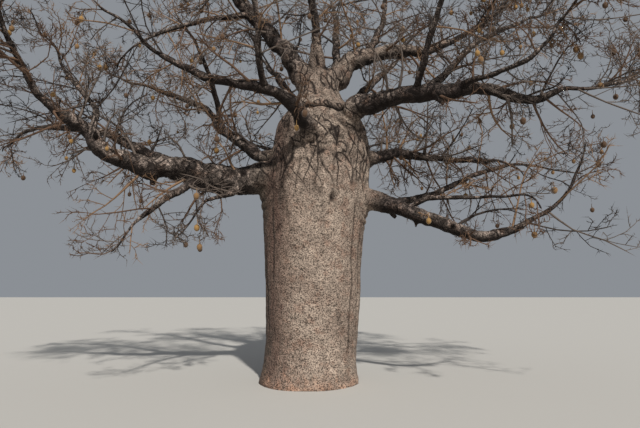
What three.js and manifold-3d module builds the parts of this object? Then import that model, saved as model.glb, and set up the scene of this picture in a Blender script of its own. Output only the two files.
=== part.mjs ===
// Baobab tree with a bare crown in fruit: trunk, boughs, and masses of twigs with hanging fruit.
// Millimetres. Z is up, X runs across the tree, Y runs from its front to its back.
// The origin is the middle of the flat cut under the trunk, at ground level.
import * as THREE from "three";
import { mergeVertices } from "three/addons/utils/BufferGeometryUtils.js";
import Module from "manifold-3d";

const wasm = await Module();
wasm.setup();

// Fits between solids
const JOINT_GAP = 0.3;
const CUT_MARGIN = 0.4;

// Trunk stations from the ground up: height, half width, half depth, axis across, axis back
const TRUNK_STATIONS = [
  [0, 915, 960, 0, 0],
  [90, 872, 915, 4, 0],
  [380, 826, 870, 30, 0],
  [730, 828, 850, 55, 0],
  [1450, 870, 870, 75, 0],
  [2200, 905, 900, 70, 0],
  [2950, 974, 950, 85, 0],
  [3350, 1000, 975, 105, 0],
  [3750, 992, 960, 150, 0],
  [4150, 950, 920, 205, 0],
  [4550, 915, 880, 235, 0],
  [4800, 850, 820, 222, 0],
  [5000, 720, 720, 212, 0],
  [5180, 560, 580, 190, 0],
  [5400, 445, 455, 182, 0],
  [5700, 390, 395, 188, 0],
  [5900, 330, 335, 195, 0],
  [6000, 210, 215, 195, 0],
];
const TRUNK_SIDES = 24;
const BARREL_TOP = 2950;
const BARREL_RING_STEP = 520;
const SHOULDER_RING_STEP = 190;

// Soft ribs round the trunk, each with its count, its depth as a share of the radius, and its turn
const TRUNK_RIBS = [
  { count: 3, depth: 0.014, turn: 0.6 },
  { count: 7, depth: 0.008, turn: 2.1 },
];

// The bark swells where a bough leaves the trunk, by shares of the bough's own radius. Boughs that
// start above the shoulders only fork from the trunk's top, with no swelling.
const COLLAR_HEIGHT = 0.42;
const COLLAR_SPREAD = 1.35;
const STEEPEST_COLLAR = 45;
const SHOULDER_TOP = 5200;
const SWOLLEN = 1.05;

// Boughs. "on" carries the bough, at a height on the trunk or at a share of the carrying bough.
// Each leg is its heading in degrees from +X towards +Y, its rise in degrees, and its length.
// "reach" is how far its mass of twigs grows past its tip, and "lift" bends the twigs up or down.
const LIMBS = [
  {
    name: "left_low", on: "trunk", at: 3700, radii: [262, 75],
    legs: [[193, 0, 1650], [191, 6, 1250], [202, 2, 550], [207, 33, 1000], [215, 34, 650]],
    reach: 2500, lift: 0.12,
  },
  {
    name: "left_light", on: "left_low", at: 0.52, radii: [125, 52],
    legs: [[155, 28, 950], [160, 24, 1300], [168, 8, 1200]],
    reach: 1700, lift: -0.04,
  },
  {
    name: "left_droop", on: "left_low", at: 0.4, radii: [74, 32],
    legs: [[225, -28, 650], [232, -40, 600], [235, -40, 400]],
    reach: 1500, lift: -0.03,
  },
  {
    name: "left_spur", on: "left_low", at: 0.26, radii: [62, 28],
    legs: [[240, -35, 550], [215, -24, 450]],
    reach: 1050, lift: -0.12,
  },
  {
    name: "left_riser", on: "left_low", at: 0.84, radii: [56, 34],
    legs: [[75, 70, 450], [150, 45, 700], [155, 45, 700]],
    reach: 1500, lift: 0.05,
  },
  {
    name: "left_back", on: "trunk", at: 3920, radii: [142, 52],
    legs: [[157, 20, 1250], [150, 32, 1450], [140, 48, 850], [150, 27, 1900]],
    reach: 2300, lift: 0.04,
  },
  {
    name: "left_back_riser", on: "left_back", at: 0.5, radii: [66, 36],
    legs: [[215, 78, 400], [255, 52, 800], [225, 60, 500]],
    reach: 1700, lift: 0.1,
  },
  {
    name: "front_left", on: "trunk", at: 4000, radii: [142, 46],
    legs: [[256, 25, 1300], [240, 30, 450], [205, 14, 450], [177, 13, 1000], [168, 30, 1050]],
    reach: 2000, lift: 0.03,
  },
  {
    name: "front_shoot", on: "front_left", at: 0.52, radii: [52, 36],
    legs: [[262, 40, 500], [265, 62, 1000], [255, 58, 800]],
    reach: 1900, lift: 0.02,
  },
  {
    name: "leader_left", on: "trunk", at: 5560, radii: [205, 82],
    legs: [[178, 50, 950], [166, 54, 1900], [155, 68, 750]],
    reach: 1900, lift: 0.05,
  },
  {
    name: "leader_left_side", on: "leader_left", at: 0.6, radii: [56, 34],
    legs: [[197, 2, 400], [208, -26, 1100], [203, -30, 500]],
    reach: 1500, lift: -0.02,
  },
  {
    name: "middle_front", on: "trunk", at: 5650, radii: [88, 48],
    legs: [[262, 66, 1100], [250, 70, 900], [285, 55, 900]],
    reach: 2000, lift: 0.02,
  },
  {
    name: "middle_back", on: "right_high", at: 0.2, radii: [92, 46],
    legs: [[95, 55, 900], [85, 66, 1000], [95, 48, 900]],
    reach: 2000, lift: 0.03,
  },
  {
    name: "right_high", on: "trunk", at: 5520, radii: [200, 74],
    legs: [[17, 47, 1000], [12, 30, 600], [5, 6, 1050], [0, 18, 600]],
    reach: 2500, lift: 0.1,
  },
  {
    name: "right_high_riser", on: "right_high", at: 0.44, radii: [82, 42],
    legs: [[42, 62, 600], [53, 58, 700], [72, 73, 850]],
    reach: 1700, lift: 0.05,
  },
  {
    name: "right_mid", on: "trunk", at: 4650, radii: [178, 44],
    legs: [[314, 12, 1250], [336, 1, 1400], [0, 1, 700], [8, -8, 750], [2, 18, 550]],
    reach: 2300, lift: -0.02,
  },
  {
    name: "right_mid_upper", on: "right_mid", at: 0.48, radii: [66, 38],
    legs: [[29, 42, 850], [24, 46, 700], [15, 37, 600], [20, 28, 700]],
    reach: 2100, lift: 0.03,
  },
  {
    name: "right_mid_shoot", on: "right_mid", at: 0.45, radii: [56, 36],
    legs: [[285, 48, 600], [292, 58, 800], [300, 45, 700]],
    reach: 1900, lift: 0.02,
  },
  {
    name: "right_mid_side", on: "right_mid", at: 0.6, radii: [50, 30],
    legs: [[300, 6, 400], [322, 3, 700], [335, 36, 500]],
    reach: 1700, lift: 0,
  },
  {
    name: "right_gnarl", on: "trunk", at: 3950, radii: [175, 60],
    legs: [[26, 18, 1000], [26, 13, 1150], [11, -3, 1100]],
    reach: 2000, lift: -0.08,
  },
  {
    name: "right_low", on: "trunk", at: 3280, radii: [180, 50],
    legs: [[349, -2, 1000], [336, -6, 500], [320, -28, 450], [335, -22, 1050], [350, -5, 500], [0, 25, 600]],
    reach: 1900, lift: 0.04,
  },
  {
    name: "right_low_upper", on: "right_low", at: 0.37, radii: [68, 40],
    legs: [[42, 18, 700], [34, 14, 550], [28, 24, 1400], [16, 18, 750]],
    reach: 2500, lift: -0.03,
  },
  {
    name: "right_low_middle", on: "right_low", at: 0.45, radii: [50, 32],
    legs: [[327, 22, 450], [330, -4, 800]],
    reach: 1500, lift: -0.03,
  },
  {
    name: "back_low", on: "trunk", at: 4050, radii: [190, 70],
    legs: [[92, 10, 1400], [99, 20, 1200], [86, 26, 1200]],
    reach: 2200, lift: 0,
  },
  {
    name: "back_low_left", on: "back_low", at: 0.48, radii: [84, 42],
    legs: [[140, 32, 900], [150, 22, 1000]],
    reach: 2000, lift: 0,
  },
  {
    name: "back_low_right", on: "back_low", at: 0.56, radii: [84, 42],
    legs: [[48, 32, 900], [35, 18, 1100]],
    reach: 2100, lift: 0,
  },
  {
    name: "back_high_left", on: "trunk", at: 4750, radii: [120, 52],
    legs: [[122, 42, 1300], [128, 50, 1100], [118, 38, 900]],
    reach: 2000, lift: 0.05,
  },
  {
    name: "back_high_right", on: "trunk", at: 4700, radii: [124, 52],
    legs: [[50, 40, 1300], [44, 46, 1200], [56, 38, 900]],
    reach: 2100, lift: 0.05,
  },
];

// How a bough is drawn
const THICK_LIMB_RADIUS = 110;
const THICK_LIMB_SIDES = 8;
const THIN_LIMB_SIDES = 6;
const RING_SPACING = 400;
const FEWEST_RINGS = 4;
const TAPER_POWER = 1.4;
const FLARE = 0.45;
const FLARE_LENGTH = 1.3;
const CROOK = 0.3;
const KNOT = 0.07;
const LIMB_SEED = 4100;
const CURVE_TENSION = 0.5;

// How twigs branch: one entry for the stem of a mass and one for each order of side twig
const TWIG_STEPS = [6, 3, 2];
const TWIG_SIDES = [4, 3, 3];
const TWIGS_PER_PARENT = [5, 1];
const TWIG_BEND = [0.34, 0.42, 0.5];
const TWIG_TILT = [52, 50];
const TWIG_LENGTH = [0.78, 0.6];
const TWIG_RADIUS = [0.55, 0.6];
const TWIG_THINNEST = [12, 9, 6];
const FIRST_TWIG = 0.12;
const LENGTH_SPREAD = 0.3;
const TIP_SHORTENING = 0.45;
const TILT_SPREAD = 14;
const GOLDEN_SHARE = 0.618;
const GOLDEN_TURN = 2.4;
const TURN_SPREAD = 0.7;
const STEM_SHARE = 0.92;
const STEM_LENGTH = 0.86;
const STEM_FOOT = 1.4;
const TRIES = 5;
const TWIG_CLEARANCE = 14;
const SPACE_MARGIN = 8;
const CENTRE_SHARE = 0.32;
const CENTRE_WEIGHT = 0.3;
const LOWEST_TWIG = 2100;
const MASS_SEED = 7300;
const TWIG_SEED_STEP = 97;

// Fruit hangs on a stalk from the end of a side twig
const FRUIT_HALF_LENGTH = 66;
const FRUIT_HALF_WIDTH = 53;
const FRUIT_SIDES = 5;
const FRUIT_BANDS = 3;
const STALK_LENGTH = 80;
const STALK_RADIUS = 6;
const STALK_SIDES = 3;
const STALK_SINK = 0.9;
const FRUIT_EVERY = 3;

// Colours of the two barks
const BARK = 0x8f8074;
const TWIG_BARK = 0x857463;

// Seeded random numbers, the same on every run
const SEED_STEP = 0x6d2b79f5;
const SEED_MIX = 61;
const CHILD_SEED_FACTOR = 0x9e3779b1;
const SEED_RANGE = 4294967296;

// Smallest numbers that count as more than nothing
const NEARLY_PARALLEL = 1e-9;
const NEARLY_CENTRED = 1e-6;
const NEARLY_UPRIGHT = 0.9;

function randomFrom(seed) {
  let state = seed >>> 0;
  return () => {
    state = (state + SEED_STEP) >>> 0;
    let mixed = Math.imul(state ^ (state >>> 15), state | 1);
    mixed ^= mixed + Math.imul(mixed ^ (mixed >>> 7), mixed | SEED_MIX);
    return ((mixed ^ (mixed >>> 14)) >>> 0) / SEED_RANGE;
  };
}

function spread(random, amount) {
  return (random() * 2 - 1) * amount;
}

function jolt(random, amount) {
  return new THREE.Vector3(spread(random, amount), spread(random, amount), spread(random, amount));
}

function headingVector(heading, rise) {
  const turn = THREE.MathUtils.degToRad(heading);
  const slope = THREE.MathUtils.degToRad(rise);
  return new THREE.Vector3(
    Math.cos(turn) * Math.cos(slope),
    Math.sin(turn) * Math.cos(slope),
    Math.sin(slope),
  );
}

// A unit vector square to "direction", turned round it by "turn" radians
function sideways(direction, turn) {
  const upright = Math.abs(direction.z) >= NEARLY_UPRIGHT;
  const helper = upright ? new THREE.Vector3(1, 0, 0) : new THREE.Vector3(0, 0, 1);
  return helper.cross(direction).normalize().applyAxisAngle(direction, turn);
}

// Places along a line of points

function lineLength(points) {
  return points.slice(1).reduce((sum, point, i) => sum + point.distanceTo(points[i]), 0);
}

function alongLine(points, radii, share) {
  let left = share * lineLength(points);
  for (let i = 1; i < points.length; i += 1) {
    const step = points[i].distanceTo(points[i - 1]);
    if (left <= step || i === points.length - 1) {
      const part = Math.min(left / step, 1);
      return {
        point: points[i - 1].clone().lerp(points[i], part),
        direction: points[i].clone().sub(points[i - 1]).normalize(),
        radius: THREE.MathUtils.lerp(radii[i - 1], radii[i], part),
      };
    }
    left -= step;
  }
  return null;
}

// The shortest distance between two straight pieces
function pieceDistance(a0, a1, b0, b1) {
  const a = a1.clone().sub(a0);
  const b = b1.clone().sub(b0);
  const between = a0.clone().sub(b0);
  const aa = a.dot(a);
  const bb = b.dot(b);
  const ab = a.dot(b);
  const aBetween = a.dot(between);
  const bBetween = b.dot(between);
  const spreadOut = aa * bb - ab * ab;
  const parallel = spreadOut <= NEARLY_PARALLEL * aa * bb;
  let s = parallel ? 0 : THREE.MathUtils.clamp((ab * bBetween - aBetween * bb) / spreadOut, 0, 1);
  const t = THREE.MathUtils.clamp((ab * s + bBetween) / bb, 0, 1);
  s = THREE.MathUtils.clamp((ab * t - aBetween) / aa, 0, 1);
  return a0.clone().addScaledVector(a, s).distanceTo(b0.clone().addScaledVector(b, t));
}

// A closed tube: a cylinder whose rings are laid along the points, pointed at its end if asked
function tube(points, radiusAt, sides, pointed, square) {
  const steps = points.length - 1;
  const geometry = new THREE.CylinderGeometry(pointed ? 0 : 1, 1, 1, sides, steps);
  const axes = [];
  let side = null;
  for (let i = 0; i <= steps; i += 1) {
    const before = points[Math.max(i - 1, 0)];
    const after = points[Math.min(i + 1, steps)];
    const along = square ?? after.clone().sub(before).normalize();
    side = side ?? sideways(along, 0);
    side = side.clone().addScaledVector(along, -side.dot(along)).normalize();
    axes.push({ side, across: side.clone().cross(along).normalize() });
  }
  const position = geometry.attributes.position;
  for (let v = 0; v < position.count; v += 1) {
    const ring = Math.round((position.getY(v) + 0.5) * steps);
    const x = position.getX(v);
    const z = position.getZ(v);
    const reach = Math.hypot(x, z);
    const size = reach > NEARLY_CENTRED ? radiusAt(ring, Math.atan2(z, x)) / reach : 0;
    const place = points[ring].clone();
    place.addScaledVector(axes[ring].side, x * size);
    place.addScaledVector(axes[ring].across, z * size);
    position.setXYZ(v, place.x, place.y, place.z);
  }
  return geometry;
}

// Between a three.js geometry and a solid that can be joined and cut

function solidFrom(geometry) {
  const bare = geometry.clone();
  bare.deleteAttribute("normal");
  bare.deleteAttribute("uv");
  const merged = mergeVertices(bare);
  return new wasm.Manifold(
    new wasm.Mesh({
      numProp: 3,
      vertProperties: new Float32Array(merged.attributes.position.array),
      triVerts: new Uint32Array(merged.index.array),
    }),
  );
}

function largestPiece(solid) {
  return solid.decompose().reduce((best, piece) => (piece.volume() > best.volume() ? piece : best));
}

function meshFrom(solid, name, material) {
  const { vertProperties, triVerts } = solid.getMesh();
  const geometry = new THREE.BufferGeometry();
  geometry.setAttribute("position", new THREE.BufferAttribute(new Float32Array(vertProperties), 3));
  geometry.setIndex(new THREE.BufferAttribute(new Uint32Array(triVerts), 1));
  geometry.computeVertexNormals();
  const mesh = new THREE.Mesh(geometry, material);
  mesh.name = name;
  return mesh;
}

// Trunk

function trunkStation(height) {
  const last = TRUNK_STATIONS.length - 1;
  let k = 0;
  while (k < last - 1 && TRUNK_STATIONS[k + 1][0] < height) {
    k += 1;
  }
  const low = TRUNK_STATIONS[k];
  const high = TRUNK_STATIONS[k + 1];
  const part = THREE.MathUtils.clamp((height - low[0]) / (high[0] - low[0]), 0, 1);
  const between = low.map((value, i) => THREE.MathUtils.lerp(value, high[i], part));
  const [, halfWidth, halfDepth, across, back] = between;
  return { halfWidth, halfDepth, across, back };
}

// Ring heights: the foot's flare first, then wide steps up the barrel and close ones at the boughs
function trunkHeights() {
  const foot = TRUNK_STATIONS[1][0];
  const top = TRUNK_STATIONS.at(-1)[0];
  const heights = [0, foot];
  while (heights.at(-1) < top) {
    const step = heights.at(-1) < BARREL_TOP ? BARREL_RING_STEP : SHOULDER_RING_STEP;
    heights.push(Math.min(heights.at(-1) + step, top));
  }
  return heights;
}

// Where a bough on the trunk comes through the bark
function collarOf(limb) {
  const [heading, rise] = limb.legs[0];
  const { halfWidth } = trunkStation(limb.at);
  return {
    turn: THREE.MathUtils.degToRad(heading),
    height: limb.at + halfWidth * Math.tan(THREE.MathUtils.degToRad(Math.min(rise, STEEPEST_COLLAR))),
    size: limb.radii[0],
  };
}

function trunkRadius(height, turn, collars) {
  const { halfWidth, halfDepth } = trunkStation(height);
  const base = 1 / Math.hypot(Math.cos(turn) / halfWidth, Math.sin(turn) / halfDepth);
  const ribs = TRUNK_RIBS.reduce((sum, rib) => sum + rib.depth * Math.cos(rib.count * turn + rib.turn), 0);
  const swelling = collars.reduce((sum, collar) => {
    const away = Math.atan2(Math.sin(turn - collar.turn), Math.cos(turn - collar.turn)) * base;
    const wide = COLLAR_SPREAD * collar.size;
    const distance = (away / wide) ** 2 + ((height - collar.height) / wide) ** 2;
    return sum + COLLAR_HEIGHT * collar.size * Math.exp(-distance);
  }, 0);
  return base * (1 + ribs) + swelling;
}

function trunkGeometry(grown) {
  const heights = trunkHeights();
  const collars = LIMBS.filter((limb) => limb.on === "trunk" && limb.at < SHOULDER_TOP).map(collarOf);
  const points = heights.map((height) => {
    const { across, back } = trunkStation(height);
    return new THREE.Vector3(across, back, height);
  });
  if (grown > 0) {
    points[0].z -= grown;
    points.at(-1).z += grown;
  }
  const up = new THREE.Vector3(0, 0, 1);
  const radiusAt = (ring, angle) => {
    const turn = trunkTurn(angle);
    return trunkRadius(heights[ring], turn, collars) + grown;
  };
  return tube(points, radiusAt, TRUNK_SIDES, false, up);
}

// The heading, from +X towards +Y, of a place on an upright ring of a tube
function trunkTurn(angle) {
  const side = sideways(new THREE.Vector3(0, 0, 1), 0);
  const across = side.clone().cross(new THREE.Vector3(0, 0, 1));
  const out = side.multiplyScalar(Math.cos(angle)).addScaledVector(across, Math.sin(angle));
  return Math.atan2(out.y, out.x);
}

// Boughs

function limbStart(limb, grown) {
  if (limb.on === "trunk") {
    const { across, back } = trunkStation(limb.at);
    return { point: new THREE.Vector3(across, back, limb.at), inside: trunkStation(limb.at).halfWidth };
  }
  const carrier = grown.get(limb.on);
  const { point, radius } = alongLine(carrier.points, carrier.radii, limb.at);
  return { point, inside: radius };
}

function limbLine(limb, index, grown) {
  const { point, inside } = limbStart(limb, grown);
  const corners = [point];
  limb.legs.forEach(([heading, rise, length]) => {
    corners.push(corners.at(-1).clone().addScaledVector(headingVector(heading, rise), length));
  });
  const curve = new THREE.CatmullRomCurve3(corners, false, "catmullrom", CURVE_TENSION);
  const length = lineLength(corners);
  const rings = Math.max(FEWEST_RINGS, Math.round(length / RING_SPACING));
  const random = randomFrom(LIMB_SEED + index);
  const points = curve.getPoints(rings);
  const [root, tip] = limb.radii;
  const radii = points.map((_, i) => tip + (root - tip) * (1 - (i / rings) ** TAPER_POWER));
  points.forEach((place, i) => {
    const crook = jolt(random, CROOK * radii[i]);
    const knot = 1 + spread(random, KNOT);
    if (i > 1 && i < rings - 1) {
      place.add(crook);
      radii[i] *= knot;
    }
    const outside = Math.max(place.distanceTo(point) - inside, 0);
    radii[i] *= 1 + FLARE * Math.exp(-outside / (FLARE_LENGTH * root));
  });
  return { points, radii, sides: root > THICK_LIMB_RADIUS ? THICK_LIMB_SIDES : THIN_LIMB_SIDES };
}

function limbGeometry(line, extra) {
  return tube(line.points, (ring) => line.radii[ring] + extra, line.sides, false);
}

// Masses of twigs

function massOf(limb, line, index) {
  const tip = line.points.at(-1);
  const heading = tip.clone().sub(line.points.at(-2)).normalize();
  return {
    name: `${limb.name}_twigs`,
    limb: limb.name,
    tip,
    heading,
    stemRadius: line.radii.at(-1) * STEM_SHARE,
    reach: limb.reach,
    lift: limb.lift,
    seed: MASS_SEED + index * TWIG_SEED_STEP,
    centre: tip.clone().addScaledVector(heading, limb.reach * CENTRE_SHARE),
  };
}

function powerOf(mass, point) {
  return mass.centre.distanceToSquared(point) - (mass.reach * CENTRE_WEIGHT) ** 2;
}

// True where the point, with room for the radius round it, lies in the mass's own space
function inSpace(mass, masses, point, radius) {
  if (point.z - radius < LOWEST_TWIG || point.distanceTo(mass.tip) + radius > mass.reach) {
    return false;
  }
  const own = powerOf(mass, point);
  return masses.every((other) => {
    if (other === mass) {
      return true;
    }
    const margin = 2 * other.centre.distanceTo(mass.centre) * (radius + SPACE_MARGIN);
    return powerOf(other, point) - own > margin;
  });
}

function clearOfLimbs(obstacles, from, to, radius, spared) {
  return obstacles.every((piece) => {
    if (piece.name === spared) {
      return true;
    }
    return pieceDistance(from, to, piece.from, piece.to) > radius + piece.radius + TWIG_CLEARANCE;
  });
}

function growLine(start, setting, world) {
  const { mass, order, length, radius, seed } = setting;
  const random = randomFrom(seed);
  const steps = TWIG_STEPS[order];
  const step = length / steps;
  const points = [start.point];
  const direction = start.direction.clone();
  if (order === 0) {
    points.push(start.point.clone().addScaledVector(direction, STEM_FOOT * radius));
  }
  const most = points.length + steps;
  while (points.length < most) {
    const from = points.at(-1);
    let next = null;
    for (let attempt = 0; attempt < TRIES && next === null; attempt += 1) {
      const bent = direction.clone().add(jolt(random, TWIG_BEND[order] * (1 + attempt / TRIES)));
      bent.z += mass.lift;
      bent.normalize();
      const to = from.clone().addScaledVector(bent, step);
      const spared = order === 0 && points.length === 2 ? mass.limb : "";
      const clear = clearOfLimbs(world.obstacles, from, to, radius, spared);
      if (clear && inSpace(mass, world.masses, to, radius)) {
        next = to;
        direction.copy(bent);
      }
    }
    if (next === null) {
      break;
    }
    points.push(next);
  }
  return points;
}

function growTwig(start, setting, world, twigs) {
  const { mass, order, length, radius, seed } = setting;
  const points = growLine(start, setting, world);
  if (points.length < 2) {
    return;
  }
  const rings = points.length - 1;
  const radii = points.map((_, i) => THREE.MathUtils.lerp(radius, TWIG_THINNEST[order], i / rings));
  twigs.push({ points, radii, order });
  if (order === TWIG_STEPS.length - 1) {
    return;
  }
  const random = randomFrom(seed + 1);
  const firstTurn = random() * 2 * Math.PI;
  for (let k = 0; k < TWIGS_PER_PARENT[order]; k += 1) {
    const share = FIRST_TWIG + (1 - FIRST_TWIG) * (((k + 1) * GOLDEN_SHARE) % 1);
    const place = alongLine(points, radii, share);
    const turn = firstTurn + k * GOLDEN_TURN + spread(random, TURN_SPREAD);
    const tilt = THREE.MathUtils.degToRad(TWIG_TILT[order] + spread(random, TILT_SPREAD));
    const direction = place.direction.clone().multiplyScalar(Math.cos(tilt));
    direction.addScaledVector(sideways(place.direction, turn), Math.sin(tilt));
    const full = length * TWIG_LENGTH[order] * (1 - TIP_SHORTENING * share);
    const child = {
      mass,
      order: order + 1,
      length: full * (1 + spread(random, LENGTH_SPREAD)),
      radius: Math.max(place.radius * TWIG_RADIUS[order], TWIG_THINNEST[order + 1]),
      seed: Math.imul(seed + k + 1, CHILD_SEED_FACTOR) >>> 0,
    };
    growTwig({ point: place.point, direction }, child, world, twigs);
  }
}

function fruitSolids(twig, mass, world) {
  const top = twig.points.at(-1);
  const bottom = top.clone().setZ(top.z - STALK_LENGTH);
  const centre = bottom.clone().setZ(bottom.z - FRUIT_HALF_LENGTH * STALK_SINK);
  const low = centre.clone().setZ(centre.z - FRUIT_HALF_LENGTH);
  const roomy = inSpace(mass, world.masses, centre, FRUIT_HALF_LENGTH);
  if (!roomy || !clearOfLimbs(world.obstacles, top, low, FRUIT_HALF_WIDTH, "")) {
    return [];
  }
  const above = top.clone().setZ(top.z + STALK_RADIUS);
  const stalk = tube([above, centre], () => STALK_RADIUS, STALK_SIDES, false, new THREE.Vector3(0, 0, -1));
  const fruit = new THREE.SphereGeometry(1, FRUIT_SIDES, FRUIT_BANDS);
  fruit.rotateX(Math.PI / 2);
  fruit.scale(FRUIT_HALF_WIDTH, FRUIT_HALF_WIDTH, FRUIT_HALF_LENGTH);
  fruit.translate(centre.x, centre.y, centre.z);
  return [solidFrom(stalk), solidFrom(fruit)];
}

function massSolid(mass, world) {
  const twigs = [];
  const start = {
    point: mass.tip.clone().addScaledVector(mass.heading, JOINT_GAP),
    direction: mass.heading,
  };
  const stem = {
    mass,
    order: 0,
    length: mass.reach * STEM_LENGTH,
    radius: mass.stemRadius,
    seed: mass.seed,
  };
  growTwig(start, stem, world, twigs);
  const solids = twigs.map(({ points, radii, order }) => {
    return solidFrom(tube(points, (ring) => radii[ring], TWIG_SIDES[order], true));
  });
  const ends = twigs.filter((twig) => twig.order === TWIG_STEPS.length - 1);
  const bearing = ends.filter((_, i) => i % FRUIT_EVERY === 0);
  bearing.forEach((twig) => solids.push(...fruitSolids(twig, mass, world)));
  return largestPiece(wasm.Manifold.union(solids));
}

// The whole tree

function barkMaterial() {
  return new THREE.MeshStandardMaterial({ color: BARK, roughness: 0.9, metalness: 0 });
}

function twigMaterial() {
  return new THREE.MeshStandardMaterial({ color: TWIG_BARK, roughness: 0.85, metalness: 0 });
}

const tree = new THREE.Group();
tree.add(meshFrom(solidFrom(trunkGeometry(0)), "trunk", barkMaterial()));

const lines = new Map();
let waiting = LIMBS.map((limb, index) => ({ limb, index }));
while (waiting.length > 0) {
  waiting = waiting.filter(({ limb, index }) => {
    const ready = limb.on === "trunk" || lines.has(limb.on);
    if (ready) {
      lines.set(limb.name, limbLine(limb, index, lines));
    }
    return !ready;
  });
}

// A bough is cut clear of the trunk and of every thicker bough that it grows from or beside
const grownTrunk = solidFrom(trunkGeometry(CUT_MARGIN));
const grownLimbs = LIMBS.map((limb) => {
  return { root: limb.radii[0], solid: solidFrom(limbGeometry(lines.get(limb.name), CUT_MARGIN)) };
});
LIMBS.forEach((limb) => {
  const whole = solidFrom(limbGeometry(lines.get(limb.name), 0));
  const thicker = grownLimbs.filter(({ root }) => root > limb.radii[0]);
  const cut = thicker
    .filter(({ solid }) => !whole.intersect(solid).isEmpty())
    .reduce((left, { solid }) => left.subtract(solid), whole.subtract(grownTrunk));
  tree.add(meshFrom(largestPiece(cut), limb.name, barkMaterial()));
});

const obstacles = [];
LIMBS.forEach((limb) => {
  const { points, radii } = lines.get(limb.name);
  points.slice(1).forEach((to, i) => {
    obstacles.push({ name: limb.name, from: points[i], to, radius: Math.max(radii[i], radii[i + 1]) });
  });
});
TRUNK_STATIONS.slice(1).forEach(([height, halfWidth, halfDepth, across, back], i) => {
  const [below, lowerWidth, lowerDepth, lowerAcross, lowerBack] = TRUNK_STATIONS[i];
  obstacles.push({
    name: "trunk",
    from: new THREE.Vector3(lowerAcross, lowerBack, below),
    to: new THREE.Vector3(across, back, height),
    radius: Math.max(halfWidth, halfDepth, lowerWidth, lowerDepth) * SWOLLEN,
  });
});

const masses = LIMBS.map((limb, index) => massOf(limb, lines.get(limb.name), index));
masses.forEach((mass) => {
  tree.add(meshFrom(massSolid(mass, { masses, obstacles }), mass.name, twigMaterial()));
});

export default tree;
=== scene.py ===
"""Baobab tree with a bare crown in fruit: the finish of every surface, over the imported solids.

The limbs and the coarse twigs are worked out by the same rule and the same named sizes as the
solids, in millimetres, and the twigs are then carried on to finer ones. Meshes are in metres.
"""
import math
from collections import namedtuple

import bpy
import numpy as np
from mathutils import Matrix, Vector


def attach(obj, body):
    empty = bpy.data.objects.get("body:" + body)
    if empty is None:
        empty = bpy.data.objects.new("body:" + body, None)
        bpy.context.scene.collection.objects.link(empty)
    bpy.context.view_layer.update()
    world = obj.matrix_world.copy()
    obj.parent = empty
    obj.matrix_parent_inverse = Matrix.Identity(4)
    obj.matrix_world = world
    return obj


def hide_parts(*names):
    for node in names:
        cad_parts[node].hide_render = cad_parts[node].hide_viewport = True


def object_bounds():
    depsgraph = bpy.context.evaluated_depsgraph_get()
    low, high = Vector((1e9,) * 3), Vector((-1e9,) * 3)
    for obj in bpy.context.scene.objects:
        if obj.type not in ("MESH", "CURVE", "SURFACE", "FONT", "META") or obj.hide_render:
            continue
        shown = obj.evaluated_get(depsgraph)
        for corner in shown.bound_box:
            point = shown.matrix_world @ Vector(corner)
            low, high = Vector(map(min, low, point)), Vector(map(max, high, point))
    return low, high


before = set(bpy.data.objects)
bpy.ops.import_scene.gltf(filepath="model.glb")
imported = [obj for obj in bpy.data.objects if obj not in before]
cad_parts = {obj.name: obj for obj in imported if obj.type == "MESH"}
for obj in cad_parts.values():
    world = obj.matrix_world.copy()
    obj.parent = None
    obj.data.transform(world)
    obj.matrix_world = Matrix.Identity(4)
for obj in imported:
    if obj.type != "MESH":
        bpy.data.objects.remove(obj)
CAD_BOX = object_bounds()

MM = 0.001

# Camera: the photograph's place, tilt and lens
CAMERA_PLACE = (0.21, -9.1, 1.6)
CAMERA_RISE = 9.23
CAMERA_LENS = 27.0
CAMERA_SENSOR = 36.0

# Trunk stations from the ground up: height, half width, half depth, axis across, axis back
TRUNK_STATIONS = [
    (0, 915, 960, 0, 0),
    (90, 872, 915, 4, 0),
    (380, 826, 870, 30, 0),
    (730, 828, 850, 55, 0),
    (1450, 870, 870, 75, 0),
    (2200, 905, 900, 70, 0),
    (2950, 974, 950, 85, 0),
    (3350, 1000, 975, 105, 0),
    (3750, 992, 960, 150, 0),
    (4150, 950, 920, 205, 0),
    (4550, 915, 880, 235, 0),
    (4800, 850, 820, 222, 0),
    (5000, 720, 720, 212, 0),
    (5180, 560, 580, 190, 0),
    (5400, 445, 455, 182, 0),
    (5700, 390, 395, 188, 0),
    (5900, 330, 335, 195, 0),
    (6000, 210, 215, 195, 0),
]

# Soft ribs round the trunk: count, depth as a share of the radius, and turn
TRUNK_RIBS = [(3, 0.014, 0.6), (7, 0.008, 2.1)]

# Swellings where boughs leave the trunk, by shares of their radii; their steepest rise is in degrees
COLLAR_HEIGHT = 0.42
COLLAR_SPREAD = 1.35
STEEPEST_COLLAR = 45
SHOULDER_TOP = 5200
# How much fuller the trunk counts where twigs keep clear of it
SWOLLEN = 1.05

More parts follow.
